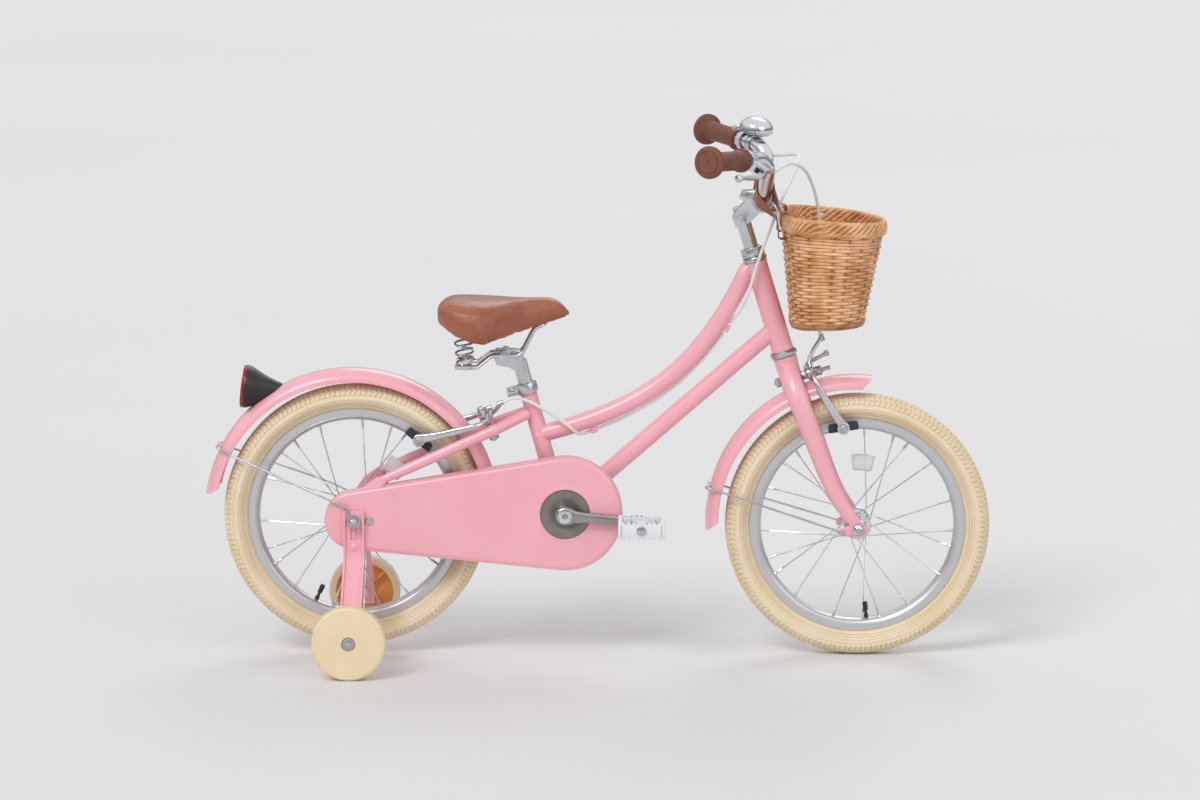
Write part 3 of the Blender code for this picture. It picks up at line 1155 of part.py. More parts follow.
def make_handlebar(body):
    path = bar_path()
    middle = len(path) // 2
    thick_half = 20.0
    steps = [Vector((BAR_CLAMP_X, y, BAR_CLAMP_Z)) for y in (-thick_half - 1, 1 - thick_half,
                                                             thick_half - 1, thick_half + 1)]
    dense = sorted(path[:middle] + steps + path[middle + 1:], key=lambda p: p.y)
    radii = [BAR_CLAMP_RADIUS if abs(p.y) < thick_half else BAR_RADIUS for p in dense]
    local = [steering_local(p) for p in dense]
    make_object("handlebar", tube(local, radii, 9, (1, 0, 0)), body, STEEL, 0.12, 1.0)


def make_grip(name, side, body):
    end, outward = grip_axis(side)
    length = 105.0
    profile = [(GRIP_CAP_RADIUS - 4, 0.0), (GRIP_CAP_RADIUS, -3.0), (GRIP_CAP_RADIUS, -7.0),
               (GRIP_RADIUS, -12.0), (GRIP_RADIUS, 14 - length), (GRIP_COLLAR_RADIUS, 8 - length),
               (GRIP_COLLAR_RADIUS, 3 - length), (GRIP_RADIUS + 0.5, -length)]
    tip = steering_local(end)
    grip = lathe(profile, 10, tip, steering_local(end + outward) - tip, closed=False)
    hole = bore(steering_local(end - outward * 5.6), steering_local(end - outward * 130),
                BAR_RADIUS + SEAT_GAP, 10)
    make_object(name, cut(grip, hole), body, LEATHER, 0.6)


def lever_frame(side):
    """The matrix from a lever's own axes (outward, away, square) to the steering axes."""
    end, outward = grip_axis(side)
    clamp = end - outward * 117.0
    out, away, normal = lever_axes(side)
    basis = Matrix((out, away, normal)).transposed().to_4x4()
    turn = Matrix.Rotation(-math.radians(-HEAD_LEAN), 4, "Y")
    return Matrix.Translation(steering_local(clamp)) @ turn @ basis


PIVOT = Vector((-9.0, LEVER_STANDOFF, 0.0))


def make_lever_clamp(name, side, body):
    """Clamp band, lever bracket with its slot and pin, and the barrel the cable enters."""
    band = lathe([(BAR_RADIUS + 3.6, -7), (BAR_RADIUS + 3.6, 7)], 10, axis=X_AXIS, closed=False)
    outline = [(-8, 8), (7, 8), (4, LEVER_STANDOFF - 8), (0, LEVER_STANDOFF + 7), (-14, LEVER_STANDOFF + 8),
               (-22, LEVER_STANDOFF + 4), (-22, LEVER_STANDOFF - 7), (-12, 14)]
    bracket = prism(outline, -8, 8, "XY")
    barrel = tube([(-18, LEVER_STANDOFF, 0), (-28, LEVER_STANDOFF, 0), (-28.5, LEVER_STANDOFF, 0),
                   (-36, LEVER_STANDOFF, 0)], [4.5, 4.5, 5.4, 5.4], 8)
    solid = union(band, bracket, barrel)
    slot = block((-17.5, LEVER_STANDOFF - 7.5, -4.3), (30, LEVER_STANDOFF + 20, 4.3))
    bar_hole = bore((-30, 0, 0), (30, 0, 0), BAR_RADIUS + SEAT_GAP, 10)
    cable_seat = bore((-34, LEVER_STANDOFF, 0), (-45, LEVER_STANDOFF, 0), CABLE_RADIUS + SEAT_GAP, 8)
    solid = cut(solid, slot, bar_hole, cable_seat)
    pin = rod((PIVOT.x, PIVOT.y, -7), (PIVOT.x, PIVOT.y, 7), 2.4, 6)
    solid = union(solid, pin)
    make_object(name, moved(solid, lever_frame(side)), body, ALLOY, 0.3, 1.0)


def make_lever(name, side, body):
    """The blade: a pivot eye, a curved finger rest and a ball end, about its pivot."""
    spine = [(0, 0, 0), (14, 5.0, 0), (30, 10.5, 0), (50, 11.0, 0), (70, 9.5, 0), (86, 11.0, 0)]
    sizes = [(3.4, 4.0), (3.4, 5.0), (4.6, 5.0), (5.8, 3.6), (5.2, 3.4), (4.0, 3.4)]
    blade = tube([Vector(p) for p in spine], sizes, 6, (0, 0, 1))
    eye = rod((0, 0, -3.9), (0, 0, 3.9), 6.2, 8)
    ball = lathe([(3.0, -5.6), (6.0, -2.0), (6.0, 2.0), (3.0, 5.6)], 8, (89, 11.3, 0), X_AXIS, closed=False)
    hole = bore((0, 0, -10), (0, 0, 10), 2.4 + RUN_GAP, 6)
    solid = cut(union(blade, eye, ball), hole)
    basis = lever_frame(side)
    rotation = basis.to_3x3().to_4x4()
    solid.transform(rotation)
    if rotation.determinant() < 0:
        solid.flip_normals()
    make_object(name, solid, body, ALLOY, 0.3, 1.0)


def bell_frame():
    """The matrix from the bell's own axes to the steering axes: Z is the dome's axis."""
    end, outward = grip_axis(1)
    place = end - outward * BELL_FROM_END
    tilt = Matrix.Rotation(math.radians(10 + HEAD_LEAN), 4, "Y")
    return Matrix.Translation(steering_local(place)) @ tilt, outward


def make_bell(body, lever_body):
    """Clamp band, base and dome in one unit, and the thumb lever that turns under the dome."""
    frame, outward = bell_frame()
    local = frame.to_3x3().inverted() @ (steering_local(outward * 100) - steering_local(Vector((0, 0, 0))))
    along = local.normalized()
    rim = BELL_RIM_HEIGHT
    band = lathe([(BAR_RADIUS + 3.0, -6), (BAR_RADIUS + 3.0, 6)], 10, axis=along, closed=False)
    base = lathe([(12.0, rim - 6.0), (BELL_RADIUS - 5.0, rim - 4.0), (BELL_RADIUS - 5.0, rim - 1.5)], 12,
                 axis=Z_AXIS, closed=False)
    dome = lathe([(BELL_RADIUS - 0.6, rim), (BELL_RADIUS, rim + 2.0), (BELL_RADIUS - 1.3, rim + 9.5),
                  (BELL_RADIUS - 6.3, rim + 16.5), (BELL_RADIUS - 14.8, rim + 20.5), (4.0, rim + 21.7)], 12,
                 axis=Z_AXIS, closed=False)
    hollow = lathe([(BELL_RADIUS - 1.8, rim - 2.5), (BELL_RADIUS - 2.2, rim + 2.0),
                    (BELL_RADIUS - 3.8, rim + 8.9), (BELL_RADIUS - 15.8, rim + 18.1)], 12, axis=Z_AXIS, closed=False)
    post = rod((0, 0, BAR_RADIUS + 1.5), (0, 0, rim + 20.5), BELL_POST_RADIUS, 8)
    solid = union(cut(dome, hollow), post, base, band)
    solid = cut(solid, bore(along * -20, along * 20, BAR_RADIUS + SEAT_GAP, 10))
    make_object("bell", moved(solid, frame), body, STEEL, 0.1, 1.0)
    inside = (BELL_POST_RADIUS + RUN_GAP) / math.cos(math.pi / 8)
    ring = lathe([(inside, rim + 0.1), (7.5, rim + 0.1), (7.5, rim + 3.5), (inside, rim + 3.5)], 8, axis=Z_AXIS)
    arm = tube([(-5, 0, rim + 1.7), (-20, -2, rim + 1.5), (-23, -2.5, rim - 2.0), (-32, -4, rim - 2.0)],
               [(2.0, 1.2)] * 3 + [(2.4, 1.6)], 6)
    knob = lathe([(2.5, rim - 4.2), (4.6, rim - 1.8), (4.6, rim + 0.8), (2.5, rim + 3.4)], 8, (-33, -4.2, 0),
                 Z_AXIS, closed=False)
    lever = union(ring, arm, knob)
    make_object("bell_lever", moved(lever, frame.to_3x3().to_4x4()), lever_body, STEEL, 0.15, 1.0)


# Brakes

def arm_solid(side, level, pad, pad_tilt, anchor):
    """One calliper arm with its shoe, about its pivot bolt.

    Its own axes: X away from the frame along the bolt, Y sideways, Z up from the shoe.
    The pad is (X, Z) of the shoe's middle; the anchor is (X, Y, low Z, high Z) of the cable's barrel.
    """
    shoe_x, drop = pad[0], -pad[1]
    middle = level + ARM_THICKNESS / 2
    wide = GUARD_HALF_WIDTH + 8.0
    pad_back = RIM_HALF_WIDTH + PAD_GAP + PAD_THICKNESS
    shape = [(0, 0, 9.0), (side * 17, -1, 8.5), (side * wide, -14, 7.0), (side * wide, -44, 6.0),
             (side * (wide - 1), -drop + 26, 5.5), (side * (pad_back + 8), -drop + 8, 5.5),
             (side * (pad_back + 7), -drop - 9, 6.0)]
    rings = []
    for index, (y, z, half) in enumerate(shape):
        before = Vector(shape[max(index - 1, 0)][:2])
        after = Vector(shape[min(index + 1, len(shape) - 1)][:2])
        line = (after - before).normalized()
        push = (shoe_x - middle) * min(1.0, max(0.0, -z) / drop) ** 1.5
        rings.append([Vector((level + w * ARM_THICKNESS + push, y - line.y * u * half, z + line.x * u * half))
                      for u, w in ((-1, 0), (-1, 1), (1, 1), (1, 0))])
    eye = lathe([(9.5, level), (9.5, level + ARM_THICKNESS)], 8, axis=X_AXIS, closed=False)
    x, y, low, high = anchor
    end = (low + high) / 2
    if side * y > 0:
        route = [(middle, y * 0.35, 2), (middle + 1, y - 4, end * 0.6)]
    else:
        route = [(middle, 0, 2), (middle, y * 0.3, end * 0.35), (middle + (x - middle) * 0.3, y * 0.6, end * 0.65)]
    horn = tube(route + [(x - 1.0, y - 1.0, end)], [(4.0, 2.7)] * len(route) + [(3.2, 2.6)], 6, (0, 0, 1))
    barrel = lathe([(3.8, low), (3.8, high)], 6, (x, y, 0), Z_AXIS, closed=False)
    tilt = math.radians(pad_tilt)
    ahead = Vector((math.cos(tilt), 0, math.sin(tilt)))
    square = Vector((-math.sin(tilt), 0, math.cos(tilt)))
    centre = Vector((shoe_x, 0, -drop))
    shoe = solid_from_rings([[centre + ahead * u + square * v + Y_AXIS * side * w for u, v in
                              ((-22, -5), (-20, 5), (20, 5), (22, -5))]
                             for w in (RIM_HALF_WIDTH + PAD_GAP, pad_back)])
    stud = rod((shoe_x, side * (pad_back - 2), -drop), (shoe_x, side * (pad_back + 15), -drop), 4.4, 6)
    solid = union(solid_from_rings(rings), eye, horn, barrel, stud, shoe)
    return cut(solid, bore((level - 30, 0, 0), (level + 30, 0, 0), BRAKE_BOLT_RADIUS + RUN_GAP, 8))


def brake_bolt_solid(back, front, rear_nut, front_nut, gap_faces):
    """The pivot bolt with its nuts; gap_faces are where the nuts seat."""
    shaft = rod((back, 0, 0), (front, 0, 0), BRAKE_BOLT_RADIUS, 8)
    nut_rear = lathe([(7.2, rear_nut - 7), (7.2, rear_nut)], 6, axis=X_AXIS, closed=False)
    nut_front = lathe([(7.2, front_nut), (7.2, front_nut + 10), (4.5, front_nut + 12)], 6,
                      axis=X_AXIS, closed=False)
    return union(shaft, nut_rear, nut_front, *gap_faces)


def make_brake(name, body, place, turn, first_level, seat, back, bolt_end, pad, pad_tilt, barrel, anchor):
    """A side-pull calliper: two crossed arms on one bolt, with nuts behind and in front."""
    pivot = make_empty(name + "_brake_axis", body, place)
    levels = (first_level, first_level + ARM_THICKNESS + 0.4)
    handed = turn.determinant() < 0 or turn[1][1] < 0
    for side, level, hold in ((1, levels[0], anchor), (-1, levels[1], barrel)):
        arm = moved(arm_solid(side, level, pad, pad_tilt, hold), turn)
        seen = -side if handed else side
        make_object(name + "_brake_arm_" + ("left" if seen > 0 else "right"), arm, pivot, ALLOY, 0.3, 1.0)
    front_end = levels[1] + ARM_THICKNESS + SEAT_GAP
    spacer = lathe([(7.0, seat), (7.0, levels[0] - SEAT_GAP)], 8, axis=X_AXIS, closed=False)
    bolt = brake_bolt_solid(back - 9, bolt_end, back, front_end, [spacer])
    make_object(name + "_brake_bolt", moved(bolt, turn), pivot, STEEL, 0.25, 1.0)


# Seat

def make_seatpost(body, rail_z):
    """A plain post with a forged head that clamps both saddle rails."""
    top = seat_point(-POST_SHOWING)
    post = rod(seat_point(POST_INSERT), top, POST_RADIUS, 12)
    centre = Vector((223.0, 0, rail_z))
    cheek = [(-17, -3), (-13, -14), (0, -18), (14, -16), (26, -8), (24, 5), (14, 7), (-14, 7), (-18, 3)]
    head = prism([(centre.x + u, centre.z + v) for u, v in cheek], -15, 15)
    bar = lathe([(8.5, -27), (8.5, 27)], 10, (centre.x, 0, centre.z), closed=False)
    throat = [(2, -17), (24, -30), (32, -24), (27, -2), (10, 0)]
    neck = prism([(centre.x + u, centre.z + v) for u, v in throat], -NECK_HALF, NECK_HALF)
    solid = union(post, head, bar, neck)
    grooves = [bore((centre.x - 40, side * RAIL_HALF, rail_z), (centre.x + 40, side * RAIL_HALF, rail_z),
                    RAIL_RADIUS + SEAT_GAP, 6) for side in (-1, 1)]
    make_object("seatpost", cut(solid, *grooves), body, ALLOY, 0.3, 1.0)


def make_saddle_rails(body, rail_z):
    """One bent wire: both rails, the nose loop and a plate under each spring."""
    plate_top = SPRING_BASE_Z - SPRING_WIRE - SEAT_GAP
    tail_z = SPRING_BASE_Z - 6.0
    half = [Vector((SPRING_X, SPRING_Y, tail_z)), Vector((182, SPRING_Y - 4, tail_z)),
            Vector((203, RAIL_HALF, rail_z)), Vector((247, RAIL_HALF, rail_z)),
            Vector((268, 13, 492.4)), Vector((283, 12, 497.9))]
    path = half + [Vector((p.x, -p.y, p.z)) for p in reversed(half)]
    wire = tube(rounded(path, [10, 12, 14, 12, 9, 9, 12, 14, 12, 10], 1), RAIL_RADIUS, 6)
    plate_radius = SPRING_BASE_RADIUS + 4
    plates = [lathe([(plate_radius, SPRING_BASE_Z - 7.5), (plate_radius, plate_top)], 10,
                    (SPRING_X, side * SPRING_Y, 0), Z_AXIS, closed=False) for side in (-1, 1)]
    make_object("saddle_rails", union(wire, *plates), body, STEEL, 0.2, 1.0)


def make_spring(name, side, body):
    """An open coil that widens upwards, as one unbroken tube with level end turns."""
    per_turn = 8
    count = SPRING_TURNS * per_turn
    points = []
    for index in range(count + 1):
        share = index / count
        angle = math.tau * SPRING_TURNS * share
        ease = min(1.0, max(0.0, (share - 0.1) / 0.8))
        height = SPRING_BASE_Z + (SPRING_TOP_Z - SPRING_BASE_Z) * ease
        radius = SPRING_BASE_RADIUS + (SPRING_TOP_RADIUS - SPRING_BASE_RADIUS) * share
        points.append(Vector((SPRING_X + radius * math.cos(angle), side * SPRING_Y + side * radius * math.sin(angle),
                              height)))
    least = min((a - b).length for i, a in enumerate(points) for b in points[i + per_turn - 2:])
    curve = bpy.data.curves.new(name, "CURVE")
    curve.dimensions = "3D"
    spline = curve.splines.new("POLY")
    spline.points.add(len(points) - 1)
    for place, point in zip(spline.points, points):
        place.co = (*(point * MM), 1)
    curve.bevel_depth = SPRING_WIRE * MM
    curve.bevel_resolution = 1
    curve.use_fill_caps = True
    curve.materials.append(make_material(name, STEEL, 0.2, 1.0))
    made = bpy.data.objects.new(name, curve)
    bpy.context.collection.objects.link(made)
    made.parent = body
    print(name, "least gap between turns, mm:", round(least - 2 * SPRING_WIRE, 2))


def saddle_half_width(x):
    """Half the saddle's width at a distance along it: broad at the rear, narrow at the nose."""
    share = (x - SADDLE_REAR_X) / (SADDLE_NOSE_X - SADDLE_REAR_X)
    stations = ((0.0, 0.45), (0.05, 0.68), (0.12, 0.86), (0.22, 0.97), (0.34, 1.0), (0.45, 0.88), (0.55, 0.66),
                (0.66, 0.46), (0.78, 0.33), (0.9, 0.245), (0.97, 0.16), (1.0, 0.07))
    for (s0, w0), (s1, w1) in zip(stations, stations[1:]):
        if share <= s1:
            return SADDLE_HALF_WIDTH * (w0 + (w1 - w0) * (share - s0) / (s1 - s0))
    return SADDLE_HALF_WIDTH * stations[-1][1]


def saddle_heights(x):
    """The crown and the skirt's lower edge at a distance along the saddle."""
    share = (x - SADDLE_REAR_X) / (SADDLE_NOSE_X - SADDLE_REAR_X)
    nose = max(0.0, share - 0.84) / 0.16
    crown = SADDLE_TOP_Z + 1.5 * math.cos(share * 5.0) - 22 * nose * nose
    crown -= 13 * (max(0.0, 0.12 - share) / 0.12) ** 2
    if share < 0.36:
        skirt = 500.0 - 27.0 * math.sin(math.pi / 2 * share / 0.36)
    else:
        skirt = 473.0 + 37.0 * ((share - 0.36) / 0.64) ** 0.9
    return crown, skirt


def make_saddle(body, ceiling):
    """A padded shell: crowned top, full sides that draw in below, and a hollow underside."""
    stations = [0.0, 0.05, 0.12, 0.22, 0.34, 0.45, 0.55, 0.66, 0.78, 0.9, 0.97, 1.0]
    rings = []
    for share in stations:
        x = SADDLE_REAR_X + (SADDLE_NOSE_X - SADDLE_REAR_X) * share
        half = saddle_half_width(x)
        crown, skirt = saddle_heights(x)
        lining = max(skirt + 2.0, min(ceiling, crown - 9.0))
        tall = crown - skirt
        side_shape = ((0.90, 0.0), (0.985, 0.22), (1.0, 0.45), (0.95, 0.68), (0.80, 0.86), (0.50, 0.965), (0.0, 1.0))
        outer = [(half * w, skirt + tall * h) for w, h in side_shape]
        wall = min(6.0, half * 0.35)
        inner = [(half * 0.90 - wall, skirt + 0.8), (half * 0.90 - wall - 1.0, lining), (0.0, lining)]
        ring = [Vector((x, -y, z)) for y, z in outer] + [Vector((x, y, z)) for y, z in reversed(outer[:-1])]
        ring += [Vector((x, y, z)) for y, z in inner] + [Vector((x, -y, z)) for y, z in reversed(inner[:-1])]
        rings.append(ring)
    make_object("saddle", solid_from_rings(rings), body, LEATHER, 0.45, sharp=60)


# Basket

def basket_outline(height, inset=0.0):
    """The basket's outline at a height: flat towards the bar and round in front."""
    share = (height - BASKET_BASE_Z) / (BASKET_TOP_Z - BASKET_BASE_Z)
    back = BASKET_BASE_X[0] + (BASKET_TOP_X[0] - BASKET_BASE_X[0]) * share + inset
    front = BASKET_BASE_X[1] + (BASKET_TOP_X[1] - BASKET_BASE_X[1]) * share - inset
    half = BASKET_BASE_HALF + (BASKET_TOP_HALF - BASKET_BASE_HALF) * share - inset
    corner = back + (front - back) * 0.42
    points = []
    steps = BASKET_STEPS
    for index in range(steps):
        angle = math.tau * (index + 0.5) / steps
        c, s = math.cos(angle), math.sin(angle)
        if c >= 0:
            points.append((corner + (front - corner) * c, half * s))
        else:
            power = 0.45
            points.append((corner - (corner - back) * abs(c) ** power,
                           half * math.copysign(abs(s) ** 0.8, s)))
    return points


def make_basket(body):
    """A woven basket as one shell: base, tapering wall and a thicker plaited rim, open at the top."""
    def ring(height, inset):
        share = max(0.0, height - BASKET_BASE_Z - 12.0) / (BASKET_TOP_Z - BASKET_BASE_Z - 12.0)
        rise = -BASKET_TILT * share
        return [steering_local(Vector((x, y, height + rise * (x - BASKET_TOP_X[0]))))
                for x, y in basket_outline(height, inset)]
    band_low = BASKET_TOP_Z - BASKET_BAND
    rings = [ring(BASKET_BASE_Z, 4.0), ring(BASKET_BASE_Z + 1.5, 0.0), ring(BASKET_BASE_Z + 9.0, -1.0),
             ring(BASKET_BASE_Z + 11.0, 1.0), ring(BASKET_BASE_Z + 75, 1.0), ring(band_low - 4, 1.0), ring(band_low, -2.5),
             ring(BASKET_TOP_Z - 3, -2.5), ring(BASKET_TOP_Z, 0.5), ring(BASKET_TOP_Z, 4.0), ring(BASKET_TOP_Z - 3, 6.0),
             ring(band_low, 6.0), ring(BASKET_BASE_Z + 75, BASKET_WALL + 1.0),
             ring(BASKET_BASE_Z + 6.0, BASKET_WALL + 1.0)]
    solid = solid_from_rings(rings)
    cuts = [rod(steering_local((688.6, 24.9, BASKET_BASE_Z - 20)), steering_local((688.6, 24.9, BASKET_BASE_Z + 20)),
                CABLE_RADIUS + 3.0, 8)]
    for _, side in SIDES:
        y0, y1 = sorted(side * (STRAP_Y + edge * (STRAP_WIDTH / 2 + 0.6)) for edge in (-1, 1))
        low, high = STRAP_SLOT_Z - STRAP_SLOT_HEIGHT / 2, STRAP_SLOT_Z + STRAP_SLOT_HEIGHT / 2
        slot = prism([(612.0, low), (650.0, low), (650.0, high), (612.0, high)], y0, y1)
        slot.transform(steering_matrix())
        cuts.append(slot)
    make_object("basket", cut(solid, *cuts), body, WICKER, 0.7)


STRAP_SLOT_Z = 630.0
STRAP_SLOT_HEIGHT = 6.0
STRAP_Y = 47.0
STRAP_WIDTH = 16.0
STRAP_THICKNESS = 2.0


def basket_back(height, inset, pick):
    """The basket's back face at a height, as the least or the greatest X that a strap meets."""
    outline = basket_outline(height, inset)
    places = []
    for step in range(5):
        y = STRAP_Y + STRAP_WIDTH * (step / 4 - 0.5)
        for a, b in zip(outline, outline[1:]):
            if a[1] >= y > b[1] and b[0] < BASKET_BASE_X[1] - 50:
                places.append(a[0] + (b[0] - a[0]) * (y - a[1]) / (b[1] - a[1]))
    return pick(places)


def steering_matrix():
    """Bicycle axes to steering axes, as a matrix for a whole solid."""
    return (Matrix.Rotation(math.radians(HEAD_LEAN), 4, "Y")
            @ Matrix.Translation((-HEAD_BASE_X, 0, -HEAD_BASE_Z)))


def make_strap(name, side, body):
    """A leather strap: round the bar, over the basket's rim and back through its slot."""
    bar = bar_place(STRAP_Y)
    slope = (bar_place(STRAP_Y + 8) - bar_place(STRAP_Y - 8)) / 16
    half = STRAP_THICKNESS / 2
    reach = BAR_RADIUS + half + SEAT_GAP + 0.8
    tall = reach * math.hypot(1, slope.z)
    points = []
    for step in range(9):
        angle = math.radians(-15 + 31 * step)
        points.append((bar.x + reach * math.cos(angle), bar.z + tall * math.sin(angle), 1.0))
    away = half + SEAT_GAP + 0.3
    outside = basket_back(BASKET_TOP_Z, -2.5, min) - away
    inside_low = basket_back(STRAP_SLOT_Z + 12, BASKET_WALL + 1.5, max) + away
    inside = basket_back(BASKET_TOP_Z - BASKET_BAND, 6.0, max) + away
    inside_top = basket_back(BASKET_TOP_Z, 6.0, max) + away
    top = BASKET_TOP_Z + away + 0.5
    points += [(outside - 3, 661.0, 0.25), (outside, 648.0, 0), (outside, STRAP_SLOT_Z, 0),
               (inside_low, STRAP_SLOT_Z, 0), (inside, BASKET_TOP_Z - BASKET_BAND, 0),
               (inside_top, BASKET_TOP_Z - 4, 0), (inside_top - 2, top, 0), (outside + 1, top + 1.0, 0)]
    rings = []
    count = len(points)
    for index, (x, z, follow) in enumerate(points):
        line = (Vector(points[(index + 1) % count][:2]) - Vector(points[index - 1][:2])).normalized()
        ring = []
        for depth, edge in ((half, -1), (-half, -1), (-half, 1), (half, 1)):
            across = edge * STRAP_WIDTH / 2
            ring.append(Vector((x - line.y * depth + slope.x * across * follow, side * (STRAP_Y + across),
                                z + line.x * depth + slope.z * across * follow)))
        rings.append(ring)
    solid = solid_from_rings(rings, wrap=True)
    solid.transform(steering_matrix())
    make_object(name, solid, body, LEATHER, 0.55)


def bar_place(y):
    """The bar's centre at a distance from the middle plane."""
    path = bar_path()
    for a, b in zip(path, path[1:]):
        if a.y <= y <= b.y and b.y > a.y:
            return a.lerp(b, (y - a.y) / (b.y - a.y))
    return path[-1]


# Cable routes, as points of the bicycle chosen along each cable

REAR_ROUTE_FRAME = [(547.0, 0.0, 483.5), (529.4, 0.0, 459.5), (511.9, 0.0, 438.9), (493.2, 0.0, 419.9),
                    (478.2, 0.0, 406.6), (457.0, 0.0, 390.1), (434.1, 0.0, 375.1), (409.5, 0.0, 361.4),
                    (389.9, 0.0, 351.9), (364.0, 0.0, 341.1), (345.5, 0.0, 334.1), (336.0, -4.5, 332.0),
                    (328.0, -12.5, 336.0), (317.0, -18.5, 346.0), (298.0, -21.0, 361.0), (275.0, -21.5, 375.0),
                    (256.0, -21.0, 384.5)]
REAR_ROUTE_FRONT = [(654.0, 36.0, 746.0), (657.0, 16.0, 740.0), (651.0, -2.0, 725.0), (640.5, -14.0, 704.0),
                    (629.6, -22.0, 680.0), (616.0, -25.0, 645.0), (604.0, -26.0, 613.0), (595.0, -26.0, 586.0),
                    (584.0, -22.5, 548.0), (573.0, -12.0, 522.0), (563.0, -2.5, 507.0), (556.4, 0.0, 497.8)]
FRONT_ROUTE = [(640.0, -52.0, 741.0), (655.0, -30.0, 737.0), (668.0, -12.0, 725.0), (679.0, 4.0, 700.0),
               (686.5, 15.0, 668.0), (691.0, 21.0, 620.0), (692.5, 23.5, 565.0), (691.0, 24.5, 525.0)]


def barrel_end(turn, place, barrel, room):
    """Where a cable enters a brake's barrel, and a point a little above it."""
    x, y, _, high = barrel
    return [turn @ Vector((x, y, high + rise)) + place for rise in (16.0, room)]


def lever_cable_start(side):
    """Where the cable leaves a lever's barrel, and a point a little along its way."""
    frame = lever_frame(side)
    to_bike = steering_matrix().inverted()
    return [to_bike @ frame @ Vector((-along, LEVER_STANDOFF, 0)) for along in (34.4, 52.0)]


def rear_brake_matrix():
    """Turns a brake's own axes so that its bolt leans back and its shoes lie down the stays."""
    lean = math.radians(REAR_BRAKE_TILT)
    away = Vector((-math.sin(lean), 0, math.cos(lean)))
    up = Vector((math.cos(lean), 0, math.sin(lean)))
    return Matrix((away, up.cross(away), up)).transposed().to_4x4()


